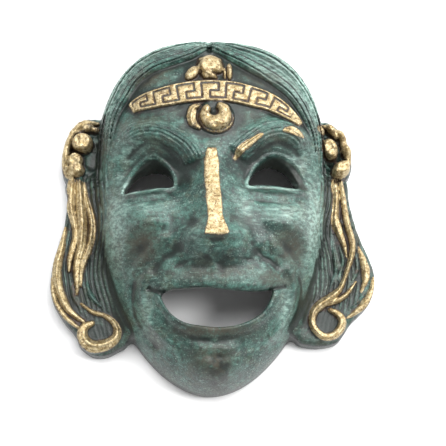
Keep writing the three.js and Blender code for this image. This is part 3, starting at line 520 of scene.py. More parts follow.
# Flower ornaments at the temples: ground, leaves (route, half widths, rise, gilding) and
# beads (middle, reach, rise, turn, gilding)
ORNAMENTS = [
    {
        "ground": [(-42.0, 39.0), (-46.0, 40.3), (-51.3, 40.0), (-56.0, 36.0), (-59.0, 29.0), (-60.0, 20.5),
                   (-57.5, 13.5), (-52.0, 12.5), (-46.0, 15.0), (-41.0, 25.0)],
        "leaves": [
            ([(-45.8, 37.4), (-51.0, 37.0), (-55.0, 33.4), (-57.2, 28.3), (-58.0, 22.8), (-57.6, 18.0),
              (-55.0, 15.0)], (0.9, 1.9, 2.2, 2.2, 2.1, 1.8, 1.0), 5.0, 1.0),
            ([(-46.0, 34.6), (-49.8, 35.2), (-52.8, 33.2)], (1.3, 2.0, 1.3), 5.4, 0.55),
        ],
        "beads": [((-51.4, 28.6), (4.4, 4.3), 8.4, 0.0, 1.0), ((-54.0, 21.6), (3.2, 3.4), 6.6, 0.0, 1.0),
                  ((-53.6, 18.2), (3.3, 3.0), 6.4, 0.0, 1.0), ((-47.6, 22.4), (3.2, 4.2), 0.9, 0.0, 0.0)],
    },
    {
        "ground": [(39.0, 39.0), (45.0, 40.6), (50.0, 38.3), (54.2, 32.5), (56.0, 25.5), (55.3, 18.5),
                   (51.5, 15.2), (45.0, 15.0), (39.0, 20.0)],
        "leaves": [
            ([(43.8, 37.2), (46.6, 36.2), (49.0, 33.0)], (1.1, 2.1, 1.3), 6.2, 1.0),
            ([(48.2, 36.2), (51.0, 33.8), (52.4, 30.0)], (1.0, 2.2, 1.4), 5.8, 1.0),
            ([(51.6, 30.6), (53.2, 27.0), (53.8, 22.8)], (1.5, 2.3, 1.3), 5.6, 1.0),
            ([(39.4, 23.6), (43.2, 22.2), (46.2, 19.8)], (0.7, 1.0, 0.6), 4.2, 0.0),
            ([(39.6, 20.8), (42.4, 18.2), (46.4, 17.2)], (0.7, 1.0, 0.6), 3.6, 0.0),
        ],
        "beads": [((45.9, 27.0), (4.9, 6.1), 3.0, 12.0, 0.0), ((45.9, 27.2), (3.6, 4.8), 8.6, 12.0, 1.0),
                  ((50.6, 19.6), (4.5, 3.2), 7.4, 40.0, 1.0), ((42.3, 34.2), (2.1, 2.0), 6.8, 0.0, 0.6)],
    },
]

# Brown patches where the patina is thin and, as marked, painted shade; pale ones where it is rubbed and
# where highlights are painted: middle, reach, strength
BROWN_PATCHES = [
    ((-0.5, -46.6), (15.0, 2.6), 1.0), ((1.5, -58.5), (5.0, 7.0), 1.0), ((-6.0, -57.0), (4.5, 5.0), 0.55),
    ((-27.0, -15.5), (6.5, 7.0), 1.0), ((29.0, -15.5), (5.5, 7.0), 0.9), ((-4.0, -26.5), (14.0, 3.5), 0.6),
    ((21.0, -27.5), (6.0, 3.0), 0.8), ((-26.0, 33.0), (9.0, 2.6), 0.5), ((-14.0, 36.0), (6.0, 2.5), 0.5),
    # (-22, 22) is painted shade under the left brow
    ((13.0, 34.0), (6.0, 3.0), 0.6), ((-54.5, -33.0), (5.0, 4.0), 0.8), ((-22.0, 22.0), (7.0, 2.5), 0.5),
    # (20, 50.5) and (-25, 50.5) are brown and painted shadow along the hairline
    ((20.0, 50.5), (9.0, 3.5), 0.9), ((-25.0, 50.5), (8.0, 3.0), 0.8), ((53.0, -12.0), (5.0, 10.0), 0.6),
    # (22, 26) is painted shade under the right brow, (-43.5, 27) the painted shadow of the left ornament,
    # (0, -14.8) painted shade under the tip of the nose
    ((22.0, 26.0), (7.0, 3.0), 0.5), ((-43.5, 27.0), (3.0, 8.0), 0.9), ((0.0, -14.8), (3.4, 1.0), 0.9),
]
PALE_PATCHES = [
    # (-37, -8) and (38.5, -8) are painted highlights on the edges of the face; the other pale patches are
    # rubbing and painted highlights together
    ((-37.0, -8.0), (4.0, 20.0), 0.7), ((38.5, -8.0), (4.0, 24.0), 0.9), ((-25.0, -2.0), (8.0, 3.5), 0.4),
    ((27.0, -3.5), (9.0, 3.5), 0.8), ((32.0, 19.0), (5.0, 5.0), 0.6), ((-33.0, 22.0), (5.0, 4.0), 0.5),
    ((-25.5, -40.0), (3.0, 8.0), 0.7), ((27.5, -39.0), (3.0, 8.0), 0.8), ((10.5, -4.0), (2.5, 9.0), 0.7),
    ((0.0, 28.5), (7.0, 4.0), 0.4), ((-8.0, -12.0), (3.0, 5.0), 0.4),
]


# Relief of the face

def head_share(x, y, inset=0.0):
    """0 in the middle of the head and 1 on its outline, moved in by an inset."""
    up = y > HEAD_MIDDLE[1]
    across = np.abs(x - HEAD_MIDDLE[0]) / (HALF_WIDTH - inset)
    along = np.abs(y - HEAD_MIDDLE[1]) / (np.where(up, CROWN_REACH, CHIN_REACH) - inset)
    power = np.where(up, CROWN_SQUARENESS, CHIN_SQUARENESS)
    return np.maximum(np.power(across ** power + along ** power, 1.0 / power), 1e-3)


def masses(x, y):
    """Swellings and hollows that the inside of the casting follows too."""
    rise = 7.0 * swell(x, y, (-0.8, -61.0), (13.0, 7.5))
    for side in (-27.6, 28.2):
        rise += 3.6 * swell(x, y, (side, -7.2), (12.0, 10.0))
    for eye in EYES:
        rise -= 7.5 * swell(x, y, eye["middle"], (14.5, 9.5), 2.6)
    return rise + 2.5 * swell(x, y, (0.7, -38.0), (27.0, 14.0), 3.0)


def nose_half_width(share):
    """Half width of the flat ridge of the nose, from its root to its tip."""
    return 1.7 + 0.9 * smooth(0.0, 0.2, share) + 1.7 * smooth(0.78, 1.0, share)


def nose_middle(y):
    """The ridge of the nose wanders a little."""
    return -1.3 - 0.5 * np.sin((y - 4.0) / 8.0) + 0.7 * smooth(-2.0, -13.0, y)


def nose(x, y):
    """The nose with its wings and nostrils."""
    down = np.clip((NOSE_ROOT - y) / (NOSE_ROOT - NOSE_TIP), 0.0, 1.0)
    ridge_height = 1.5 + (NOSE_RISE - 1.5) * down ** 1.25
    away = np.abs(x - nose_middle(y))
    flank = (1.0 - np.clip((away - nose_half_width(down)) / (12.0 + 4.0 * down), 0.0, 1.0)) ** 1.7
    underside = 0.8 * smooth(NOSE_TIP - 11.5, NOSE_TIP + 0.5, y)
    underside += 0.2 * smooth(NOSE_TIP - 1.8, NOSE_TIP - 0.2, y)
    rise = ridge_height * flank * underside * smooth(NOSE_ROOT + 5.5, NOSE_ROOT - 3.5, y)
    for side in (-1, 1):
        rise += 2.4 * swell(x, y, (7.2 * side + 0.2, -16.0), (4.4, 5.0), 2.8)
        rise -= 0.6 * swell(x, y, (3.9 * side, -20.6), (1.9, 1.3))
    return rise


def nose_ridge(x, y):
    """1 on the flat polished ridge of the nose."""
    share = (NOSE_ROOT - 0.4 - y) / (NOSE_ROOT - NOSE_TIP)
    half = nose_half_width(np.clip(share, 0.0, 1.0)) + 0.15 * waves(x, y, 2.4, 3)
    across = 1.0 - smooth(-0.25, 0.35, np.abs(x - nose_middle(y)) - half)
    return across * smooth(-0.01, 0.02, share) * smooth(1.01, 0.99, share)


def lips(x, y):
    """Both lips and the groove under the nose."""
    rise = 1.4 * pillow(x, y, UPPER_LIP, 7.6) + 1.1 * pillow(x, y, LOWER_LIP, 3.4)
    rise += 1.6 * swell(x, y, (0.0, -21.0), (10.0, 3.4))
    rise += 0.8 * swell(x, y, (-0.8, -24.4), (2.0, 1.8)) - 0.5 * swell(x, y, (0.6, -19.6), (2.2, 2.4))
    return rise


def brow(x, y, points):
    """A thick brow combed lengthwise: its mass and its hairs."""
    away, share, side = nearest(x, y, route(points), 12.0)
    breadth = 3.0 + 1.6 * np.sin(np.pi * share)
    ends = smooth(0.0, 0.1, share) * smooth(1.0, 0.82, share)
    combed = np.abs(np.sin(np.pi * away * side / 1.35 + 0.8 + 0.6 * share))
    hairs = 0.9 * (combed - 0.5) * np.exp(-((away / 3.9) ** 4)) * ends
    return 3.0 * np.exp(-((away / breadth) ** 2)) * ends, hairs


def brows_and_wrinkles(x, y):
    """Lumps, brows, creases and the rims of the lids on the laughing face."""
    rise = sum(height * swell(x, y, middle, reach, power) for middle, reach, height, power in LUMPS)
    for points in BROWS:
        mass, hairs = brow(x, y, points)
        rise += mass
        rise += hairs
    for points, half, height in WRINKLES:
        rise += carved(x, y, points, half, height)
    for eye in EYES:
        out = -inside_by(x, y, eye["lid"], 8.0)
        rise += 0.9 * np.exp(-(((out - 0.7) / 0.8) ** 2))
        lower = carved(x, y, eye["lower_lid"], 2.0, 1.1, 0.15)
        rise += lower + carved(x, y, eye["bag"], 1.2, -0.7, 0.3)
    return rise


def combed_hair(x, y, away, edge):
    """Strands that run from the parting along the outline down to the curls, -0.5 to 0.5."""
    across = away / np.maximum(away + np.maximum(edge, 0.0), 1e-3)
    wander = 0.035 * waves(x, y, 14.0, 21) + 0.012 * waves(x, y, 5.0, 22)
    strands = np.abs(np.sin(np.pi * 5.6 * (across + wander) + 0.3)) ** 0.7
    fine = np.abs(np.sin(np.pi * 12.6 * (across + 1.4 * wander))) ** 0.8
    low = smooth(30.0, 14.0, y)
    bowed = away + 3.0 * np.exp(-(((y + 5.0) / 13.0) ** 2))
    side = np.abs(np.sin(np.pi * (bowed / 1.7 + 16.0 * wander))) ** 0.8
    fine += low * (side - fine)
    # the strands fade at the outline and in the curls
    fade = smooth(0.0, 2.2, away) * smooth(0.0, 1.5, edge)
    fade = fade * (1.0 - 0.7 * smooth(-31.0, -40.0, y))
    return ((0.62 - 0.25 * low) * strands + (0.38 + 0.25 * low) * fine - 0.55) * fade


def meander(u, v, reach):
    """Distance to the line of one key, u along the band and v across it."""
    corners = [(0.0, -1.0), (0.0, 1.0), (0.7, 1.0), (0.7, -0.05), (0.34, -0.05), (0.34, -1.0),
               (1.0, -1.0), (1.0, 1.0)]
    away = np.full(u.shape, 1e3)
    for (a, b), (c, d) in zip(corners, corners[1:]):
        run_u, run_v = (c - a) * KEY_PITCH, (d - b) * reach
        from_u, from_v = u - a * KEY_PITCH, v - b * reach
        length = np.maximum(run_u ** 2 + run_v ** 2, 1e-6)
        part = np.clip((from_u * run_u + from_v * run_v) / length, 0.0, 1.0)
        away = np.minimum(away, np.hypot(from_u - part * run_u, from_v - part * run_v))
    return away


def band_and_key(x, y, ground):
    """Rise of the band, its coverage and the meander sunk in it."""
    line = route(BAND)
    away, share, side = nearest(x, y, line, 8.0)
    half = np.interp(share, np.linspace(0.0, 1.0, len(BAND_WIDTHS)), BAND_WIDTHS)
    ends = smooth(0.0, 0.012, share) * smooth(1.0, 0.985, share)
    cover = (1.0 - smooth(-0.3, 0.3, away - half)) * ends
    # lengths over the curved forehead, so the keys look closer at the ends
    heights = sample(ground, x, y, line)
    steps = np.hypot(np.hypot(*np.diff(line, axis=0).T), np.diff(heights))
    lengths = np.concatenate([[0.0], np.cumsum(steps)])
    along = np.interp(share * (len(line) - 1), np.arange(len(line)), lengths)
    count = math.floor((lengths[-1] - KEY_START - KEY_END) / KEY_PITCH)
    within = (along > KEY_START) & (along < KEY_START + count * KEY_PITCH)
    reach = np.maximum(half - KEY_MARGIN, 0.3)
    groove = meander(np.mod(along - KEY_START, KEY_PITCH), away * side - 0.15, reach)
    key = np.exp(-((groove / KEY_LINE) ** 2)) * within * (away < half - 0.5)
    rim = np.exp(-(((away - half + 0.5) / 0.4) ** 2)) * cover
    return BAND_RISE * cover + 0.25 * rim - KEY_DEPTH * key, cover, key


def bud_and_leaf(x, y):
    """Facetted bud, leaf and bars over the band."""
    tilted = 4.4 + 0.16 * (y - 55.4) - 0.1 * (x + 2.0)
    bud = np.minimum(11.0 * facets(x, y, (-2.0, 55.6), (5.5, 6.4), 7, 12.0), tilted)
    bud = np.minimum(bud, 4.0 + 3.0 * facets(x, y, (-3.0, 57.0), (4.6, 4.6), 5, 40.0))
    bud -= 2.4 * swell(x, y, (0.2, 51.8), (2.6, 0.9), turn=-20.0)
    bud -= 0.8 * swell(x, y, (-4.4, 52.0), (2.8, 0.5), turn=-40.0)
    leaf = 3.4 * ball(x, y, (-8.8, 52.2), (3.9, 2.2), 52.0) ** 0.7
    tall_bar = 3.4 * ball(x, y, (5.4, 53.2), (1.2, 4.2))
    low_bar = 2.0 * ball(x, y, (3.6, 52.2), (0.7, 3.0))
    return bud, leaf, np.maximum(tall_bar, low_bar)


def crescent(x, y, away):
    """Round crescent of the pendant, open upwards, with a lobe at each end."""
    bite = (-0.9, 35.0)
    within = np.minimum(6.0 - away, np.hypot(x - bite[0], y - bite[1]) - 1.7) / 1.9
    angle = np.degrees(np.arctan2(y - bite[1], x - bite[0]))
    gap = np.abs(np.mod(angle - 97.0 + 180.0, 360.0) - 180.0)
    rounded = np.sqrt(np.clip(1.0 - (1.0 - np.clip(within, 0.0, 1.0)) ** 2, 0.0, 1.0))
    lobes = [ball(x, y, (2.8, 36.2), (2.3, 2.1)), ball(x, y, (-3.6, 35.8), (1.7, 1.8))]
    hook = np.maximum(rounded * smooth(24.0, 44.0, gap), np.maximum(*lobes))
    return hook * (1.0 + 0.12 * waves(x, y, 1.5, 13))


def jewel(x, y):
    """Bud and leaves over the band and the curled pendant under it: rise and gilding."""
    bud, leaf, bars = bud_and_leaf(x, y)
    # the pendant lies on a round seat with a leaf beside it
    middle = (-0.1, 33.2)
    away = np.hypot(x - middle[0], y - middle[1])
    hook = crescent(x, y, away)
    leaf_route = [(-6.4, 37.8), (-8.5, 36.4), (-9.2, 33.2), (-8.4, 30.2), (-6.4, 28.4)]
    outer, _, _ = ridge(x, y, leaf_route, (1.0, 1.9, 2.0, 1.8, 0.8), 0.3)
    rim = np.exp(-(((away - 6.6) / 0.5) ** 2)) * smooth(36.0, 33.0, y)
    seat = 1.5 * (1.0 - smooth(6.4, 7.4, away)) + 0.3 * rim
    seat -= 1.0 * swell(x, y, (-0.9, 35.4), (1.3, 1.6)) + 0.9 * swell(x, y, (-0.6, 28.9), (1.0, 0.8))
    rise = np.maximum.reduce([bud, leaf, bars, seat + 3.2 * hook, 2.6 * outer])
    bare = [bud > 0.5, leaf > 0.6, bars > 0.8, hook > 0.3]
    gilt = np.maximum.reduce([*bare, 0.62 * (outer > 0.3), 0.6 * rim])
    return rise, gilt.astype(float)


# Relief of the side hair and ornaments

def side_hair(x, y):
    """Rise of the locks over the side hair, how far they cover it and their gilding."""
    rise = np.zeros(x.shape)
    cover = np.zeros(x.shape)
    gilt = np.zeros(x.shape)
    for points, widths, height, golden in LOCKS:
        profile, size, _ = ridge(x, y, points, widths, 0.14)
        lock = height * (0.3 + 0.7 * size) * profile * (profile > 0.0)
        higher = lock > rise
        gilt = np.where(higher, golden * smooth(0.25, 0.6, profile), gilt)
        rise = np.maximum(rise, lock)
        cover = np.maximum(cover, smooth(0.0, 0.5, profile))
    for middle, reach in CURL_PITS:
        rise -= 1.8 * swell(x, y, middle, reach, 4.0) * (1.0 - cover)
    return rise, cover, gilt


def ornament(x, y, parts):
    """Height of a flower ornament over the back and its gilding."""
    height = ORNAMENT_HEIGHT + 0.5 * waves(x, y, 1.6, 11) + 0.4 * waves(x, y, 0.9, 15)
    gilt = np.zeros(x.shape)
    for points, widths, rise, golden in parts["leaves"]:
        profile, size, share = ridge(x, y, points, widths)
        notched = 1.0 - 0.1 * np.abs(np.sin(np.pi * 3.0 * share))
        leaf = ORNAMENT_HEIGHT + rise * size * profile * notched
        higher = (leaf > height) & (profile > 0.0)
        gilt = np.where(higher, golden * smooth(0.1, 0.4, profile), gilt)
        height = np.where(profile > 0.0, np.maximum(height, leaf), height)
    for middle, reach, rise, turn, golden in parts["beads"]:
        round_top = np.minimum(1.0, 1.3 * ball(x, y, middle, reach, turn))
        bead = ORNAMENT_HEIGHT + rise * round_top
        higher = (bead > height) & (round_top > 0.0)
        gilt = np.where(higher, golden * smooth(0.15, 0.45, round_top), gilt)
        height = np.where(round_top > 0.0, np.maximum(height, bead), height)
    # the gilding of the flowers is rough and pitted
    rough = 0.55 * waves(x, y, 1.7, 12) + 0.4 * waves(x, y, 1.0, 14)
    return height + rough * smooth(0.1, 0.5, gilt), gilt


# The solid field: negative in the metal

def soft_max(a, b, reach):
    """The greater of two fields, rounded over a reach where they meet."""
    blend = np.clip(0.5 + 0.5 * (a - b) / reach, 0.0, 1.0)
    return b + (a - b) * blend + reach * blend * (1.0 - blend)


def soft_min(a, b, reach):
    """The smaller of two fields, rounded in the same way."""
    return -soft_max(-a, -b, reach)


def dome_field(z, share, rise, inset):
    """Distance-like field of a dome whose height is moved by a rise."""
    reach = DOME_HEIGHT - inset
    lift = z - rise[..., None]
    wall = (3.0 * reach * reach / (HALF_WIDTH + 8.0) * share ** 2)[..., None]
    field = lift * np.abs(lift) - (reach * reach * (1.0 - share ** 3))[..., None]
    return field / np.sqrt(4.0 * lift * lift + wall * wall + 60.0)


def lay_out():
    """Grid of the plan with the fields that both the shape and the finish need."""
    xs = np.arange(*PLAN_X, CELL)
    ys = np.arange(*PLAN_Y, CELL)
    x, y = np.meshgrid(xs, ys, indexing="ij")
    share = head_share(x, y)
    edge = (1.0 - share) * np.hypot(x - HEAD_MIDDLE[0], y - HEAD_MIDDLE[1]) / share
    return SimpleNamespace(
        xs=xs, ys=ys, x=x, y=y, share=share, edge=edge,
        dome=DOME_HEIGHT * np.sqrt(np.clip(1.0 - share ** 3, 0.0, 1.0)),
        broad=masses(x, y),
        beside=inside_by(x, y, HAIRLINE, 30.0),
        crown=smooth(14.0, 40.0, y),
        side_edge=np.maximum(*[inside_by(x, y, outline, 14.0) for outline in SIDE_HAIR]),
        side_top=SIDE_HAIR_HEIGHT + 2.2 * np.exp(np.minimum(edge, 0.0) / 3.5),
        grounds=[inside_by(x, y, parts["ground"], 8.0) for parts in ORNAMENTS],
        reliefs=[ornament(x, y, parts) for parts in ORNAMENTS],
    )


def raise_face(plan):
    """Rise of the face over the dome, with hair, band and jewel, and its gilding."""
    x, y = plan.x, plan.y
    rise = plan.broad + nose(x, y) + lips(x, y) + brows_and_wrinkles(x, y)
    bar = nose_ridge(x, y)
    rise += 0.5 * bar
    band, cover, key = band_and_key(x, y, plan.dome + rise)
    hair_cover = smooth(0.0, 2.6, -plan.beside) * (1.0 - cover)
    rise += hair_cover * HAIR_RISE * plan.crown
    rise += band
    jewel_rise, jewel_gilt = jewel(x, y)
    rise += jewel_rise
    # the parting of the hair
    rise -= 1.8 * swell(x, y, (-2.0, 69.0), (0.9, 6.5))
    # uneven wax under the patina, roughest on the chin
    wax = 0.27 * waves(x, y, 4.5, 1) + 0.16 * waves(x, y, 2.0, 2)
    rise += wax * (1.0 - cover) * (1.0 + 0.7 * smooth(-40.0, -52.0, y))
    # gilding of the one brow
    patch = pillow(x, y, BROW_PATCH, 1.2)
    sliver, _, _ = ridge(x, y, BROW_SLIVER, (0.7, 1.5, 1.5, 1.1, 0.5))
    rise += 0.7 * patch + 0.6 * sliver
    # dirt lies in the key, around it and on the middle of the band
    film = 0.3 * blur(key, 0.8) + 0.2 * swell(x, y, (1.5, 47.0), (9.0, 5.5))
    dirt = 0.85 * key + (1.0 - key) * film
    gilding = [bar, cover * (1.0 - dirt), jewel_gilt, patch, smooth(0.2, 0.7, sliver)]
    plan.rise, plan.cover, plan.key, plan.hair_cover = rise, cover, key, hair_cover
    plan.gilt = np.maximum.reduce(gilding)


def comb_hair(plan):
    """Locks of the side hair and the fine strands between them."""
    plan.locks, plan.lock_cover, plan.lock_gilt = side_hair(plan.x, plan.y)
    outer_edge = np.maximum(plan.edge, plan.side_edge)
    strands = combed_hair(plan.x, plan.y, np.maximum(-plan.beside, 0.0), outer_edge)
    strands = strands * (1.0 - plan.cover) * (1.0 - plan.lock_cover)
    strands *= 1.3 + 0.9 * plan.crown
    plan.strands = strands


def cast_body(plan, z):
    """The unpierced casting: head, side hair, locks and ornaments."""
    metal = dome_field(z, plan.share, plan.rise, 0.0)
    border = DRAFT * z - plan.side_edge[..., None]
    slab = soft_max(z - plan.side_top[..., None].astype(np.float32), border, 3.0)
    metal = soft_min(metal, slab, 3.6) - 0.9 * plan.strands[..., None]
    lock_height = (SIDE_HAIR_HEIGHT - 0.4 + plan.locks)[..., None]
    lock_top = soft_max(z - lock_height, 0.5 - plan.lock_cover[..., None], 0.5)
    metal = soft_min(metal, np.maximum(lock_top, border), 0.5)
    for (height, _), ground in zip(plan.reliefs, plan.grounds):
        flower = soft_max(z - height[..., None], DRAFT * z - ground[..., None], 2.2)
        metal = soft_min(metal, flower, 0.6)
    return metal


def hollowed(plan, metal, z):
    """The casting with its hollow back, mouth and eyes cut out."""
    x, y = plan.x, plan.y
    within = 0.9 * plan.broad + 4.5 * swell(x, y, (-1.0, -8.0), (6.0, 12.0))
    for eye in EYES:
        within -= 2.4 * swell(x, y, eye["middle"], (14.0, 10.0), 2.6)
    hollow = dome_field(z, head_share(x, y, WALL), within, WALL)
    metal = soft_max(metal, -hollow, 0.8)
    metal = soft_max(metal, inside_by(x, y, MOUTH, 4.0)[..., None] + 0.0 * z, 1.4)
    # the lids slant from the hole at the back to the wider lid in front
    slant = np.clip((z - LID_FOOT) / LID_DEPTH, 0.0, 1.0)
    for eye in EYES:
        hole = inside_by(x, y, eye["hole"], 6.0)[..., None]
        lid = inside_by(x, y, eye["lid"], 6.0)[..., None]
        metal = soft_max(metal, hole + slant * (lid - hole), 0.6)
    return np.maximum(metal, -z)


def top_and_gilding(plan):
    """Height of the uppermost surface and how much of it is gilded."""
    edge = plan.edge
    top = plan.dome + plan.rise
    gilt = np.where(edge > 0.0, plan.gilt, 0.0)
    gilt = np.where(plan.on_side, np.maximum(gilt, plan.lock_gilt), gilt)
    hair_top = np.maximum(top, plan.side_top + plan.locks)
    top = np.where((plan.side_edge > 0.5) & (edge < 1.0), hair_top, top)
    for (height, flower_gilt), ground in zip(plan.reliefs, plan.grounds):
        around = np.maximum(gilt, flower_gilt * (ground > -1.0))
        gilt = np.where((ground > 1.2) & (edge < 6.0), flower_gilt, around)
        top = np.where((ground > 0.5) & (edge < 3.0), height, top)
    # a scorched fringe around the gilding
    gilt = np.maximum(gilt, 0.5 * blur(gilt, 0.9))
    return top + plan.strands, gilt


def hollows_and_crests(plan, top):
    """Above 0 in the hollows and below 0 on the crests: it carries dirt and painted shade in the hollows,
    rubbing and painted highlights on the crests.
    """
    x, y = plan.x, plan.y
    # painted shade in the hollows and painted highlights on the crests, from how far the relief lies under
    # or over its blur
    sunk = 0.6 * (blur(top, 1.1, 2) - top) + 0.4 * (blur(top, 3.0, 2) - top)
    # painted shade in the grooves of the hair strands and painted highlights on their ridges
    sunk = sunk - 0.9 * plan.strands
    # painted shadow of the left ornament on the hair beside it
    sunk = sunk + 0.6 * swell(x, y, (-44.4, 26.0), (3.0, 9.0)) * (plan.edge > -2.0)
    # black speckled dirt on the chin
    speckled = 0.22 + 0.34 * waves(x, y, 1.3, 16)
    sunk = np.maximum(sunk, swell(x, y, (3.6, -62.0), (7.5, 6.5), 3.0) * speckled)
    # the bare ground of the ornaments stays green
    for (_, flower_gilt), ground in zip(plan.reliefs, plan.grounds):
        bare = (ground > 0.8) & (flower_gilt < 0.2) & (plan.edge < 1.5)
        sunk = np.where(bare, np.minimum(sunk, 0.3 + 0.2 * waves(x, y, 1.4, 17)), sunk)
    return sunk - 0.22 * smooth(0.5, 0.8, plan.lock_gilt) * plan.on_side


def patches(plan):
    """Where the patina is thin and brown or rubbed pale, and where shade and highlights are painted."""
    x, y = plan.x, plan.y
    brown = sum(strength * swell(x, y, middle, reach) for middle, reach, strength in BROWN_PATCHES)
    pale = sum(strength * swell(x, y, middle, reach) for middle, reach, strength in PALE_PATCHES)
    # a brown line under the hair over the forehead, brown patina and painted shadow of the hair's edge
    line = 0.8 * np.exp(-(((plan.beside - 0.4) / 1.3) ** 2))
    line = line * smooth(40.0, 45.0, y) * smooth(58.0, 54.0, y)
    brown += line * (1.0 - plan.cover)
    # between the locks and along their edges
    brown += 0.35 * plan.on_side * (1.0 - plan.lock_cover)
    lock_rim = smooth(0.2, 0.4, plan.lock_gilt) * smooth(0.6, 0.3, plan.lock_gilt)
    brown += 0.9 * np.where(plan.on_side, lock_rim, 0.0)
    # painted highlights on the rim of the crown and on the combed hair on the right
    pale += 1.3 * np.exp(-(((plan.edge - 2.0) / 4.0) ** 2)) * smooth(26.0, 44.0, y)
    pale += 0.6 * plan.hair_cover * swell(x, y, (28.0, 50.0), (20.0, 15.0), 4.0)
    return brown, pale


def finish_fields(plan):
    """The fields that the patina reads: gilding, hollows, key lines, brown and pale patches."""
    plan.on_side = (plan.side_edge > 0.3) & (plan.edge < 3.0)
    top, gilt = top_and_gilding(plan)
    sunk = hollows_and_crests(plan, top)
    brown, pale = patches(plan)
    for eye in EYES:
        # painted shade in the pocket under each lid, brown and black, and a little darker along the lower
        # lid
        pocket = smooth(-0.2, 0.8, inside_by(plan.x, plan.y, eye["lid"], 3.0))
        brown = np.maximum(brown, 0.9 * pocket)
        sunk = np.maximum(sunk, 0.3 * pocket)
        sunk = sunk + carved(plan.x, plan.y, eye["lower_lid"], 1.5, 0.28, 0.1)
        # painted highlight along the lower rim of the hole
        under = inside_by(plan.x, plan.y, eye["hole"], 4.0) + 0.8
        below = smooth(0.0, -3.0, plan.y - eye["middle"][1])
        pale = pale + 1.1 * np.exp(-((under / 0.6) ** 2)) * below
    brown = np.clip(brown, 0.0, 1.0)
    pale = np.clip(pale, 0.0, 1.3)
    return {"gilt": gilt, "sunk": sunk, "key": plan.key, "brown": brown, "pale": pale}


def sculpt():
    """Plan grid, layers, solid field and finish fields of the mask."""
    plan = lay_out()
    raise_face(plan)
    comb_hair(plan)
    # single precision is enough for the large solid field
    for name in ("x", "y", "share", "rise", "strands"):
        setattr(plan, name, getattr(plan, name).astype(np.float32))
    zs = np.arange(*HEIGHTS, LAYER)
    z = zs[None, None, :].astype(np.float32)
    metal = hollowed(plan, cast_body(plan, z), z)
    return plan.xs, plan.ys, zs, metal.astype(np.float32), finish_fields(plan)


def skin_of(metal, xs, ys, zs):
    """Points and four-sided faces on the surface of a solid field."""
    inside = metal < 0.0
    corners = [(i, j, k) for i in (0, 1) for j in (0, 1) for k in (0, 1)]
    nx, ny, nz = (length - 1 for length in inside.shape)
    counted = sum(
        inside[i:nx + i, j:ny + j, k:nz + k].astype(np.uint8)
        for i, j, k in corners
    )
    cells = np.argwhere((counted > 0) & (counted < 8))
    values = [metal[cells[:, 0] + i, cells[:, 1] + j, cells[:, 2] + k] for i, j, k in corners]
    summed = np.zeros((len(cells), 3))
    count = np.zeros(len(cells))
    for a, start in enumerate(corners):
        for b, end in enumerate(corners):
            if sum(end) - sum(start) != 1 or sum(abs(p - q) for p, q in zip(start, end)) != 1:
                continue
            crossed = (values[a] < 0.0) != (values[b] < 0.0)
            part = values[a][crossed] / (values[a][crossed] - values[b][crossed])
            summed[crossed] += np.array(start) + part[:, None] * (np.array(end) - np.array(start))
            count[crossed] += 1
    place = cells + summed / count[:, None]
    points = np.array([xs[0], ys[0], zs[0]]) + place * np.array([CELL, CELL, LAYER])

    index = np.full(counted.shape, -1, dtype=np.int32)
    index[cells[:, 0], cells[:, 1], cells[:, 2]] = np.arange(len(cells))
    faces = []
    for axis in range(3):
        u, v = (axis + 1) % 3, (axis + 2) % 3
        low = [slice(1, -1)] * 3
        high = [slice(1, -1)] * 3
        low[axis], high[axis] = slice(0, -1), slice(1, None)
        before, after = inside[tuple(low)], inside[tuple(high)]
        changed = np.argwhere(before != after)
        leaving = before[changed[:, 0], changed[:, 1], changed[:, 2]]
        changed[:, u] += 1
        changed[:, v] += 1
        ring = []
        for du, dv in ((-1, -1), (0, -1), (0, 0), (-1, 0)):
            cell = changed.copy()
            cell[:, u] += du
            cell[:, v] += dv
            ring.append(index[cell[:, 0], cell[:, 1], cell[:, 2]])
        ring = np.stack(ring, axis=1)
        ring[~leaving] = ring[~leaving][:, ::-1]
        faces.append(ring)
    return points, np.vstack(faces)


def mesh_from(name, points, faces):
    """A mesh of faces that all have the same number of corners."""
    mesh = bpy.data.meshes.new(name)
    mesh.vertices.add(len(points))
    mesh.vertices.foreach_set("co", points.astype(np.float32).ravel())
    mesh.loops.add(faces.size)
    mesh.loops.foreach_set("vertex_index", faces.astype(np.int32).ravel())
    mesh.polygons.add(len(faces))
    mesh.polygons.foreach_set("loop_start", np.arange(0, faces.size, faces.shape[1], dtype=np.int32))
    mesh.update(calc_edges=True)
    return mesh


def thinned(mesh, most):
    """The same surface with fewer triangles where it is plain."""
    piece = bpy.data.objects.new("thinning", mesh)
    bpy.context.scene.collection.objects.link(piece)
    triangles = 2 * len(mesh.polygons)
    thin = piece.modifiers.new("thin", "DECIMATE")
    thin.ratio = min(1.0, most / triangles)
    thin.use_collapse_triangulate = True
    graph = bpy.context.evaluated_depsgraph_get()
    result = bpy.data.meshes.new_from_object(piece.evaluated_get(graph))
    bpy.data.objects.remove(piece)
    return result


def points_of(mesh, what):
    """Places or normals of all points of a mesh."""
    values = np.empty(3 * len(mesh.vertices), dtype=np.float32)
    mesh.vertices.foreach_get(what, values)
    return values.reshape(-1, 3)


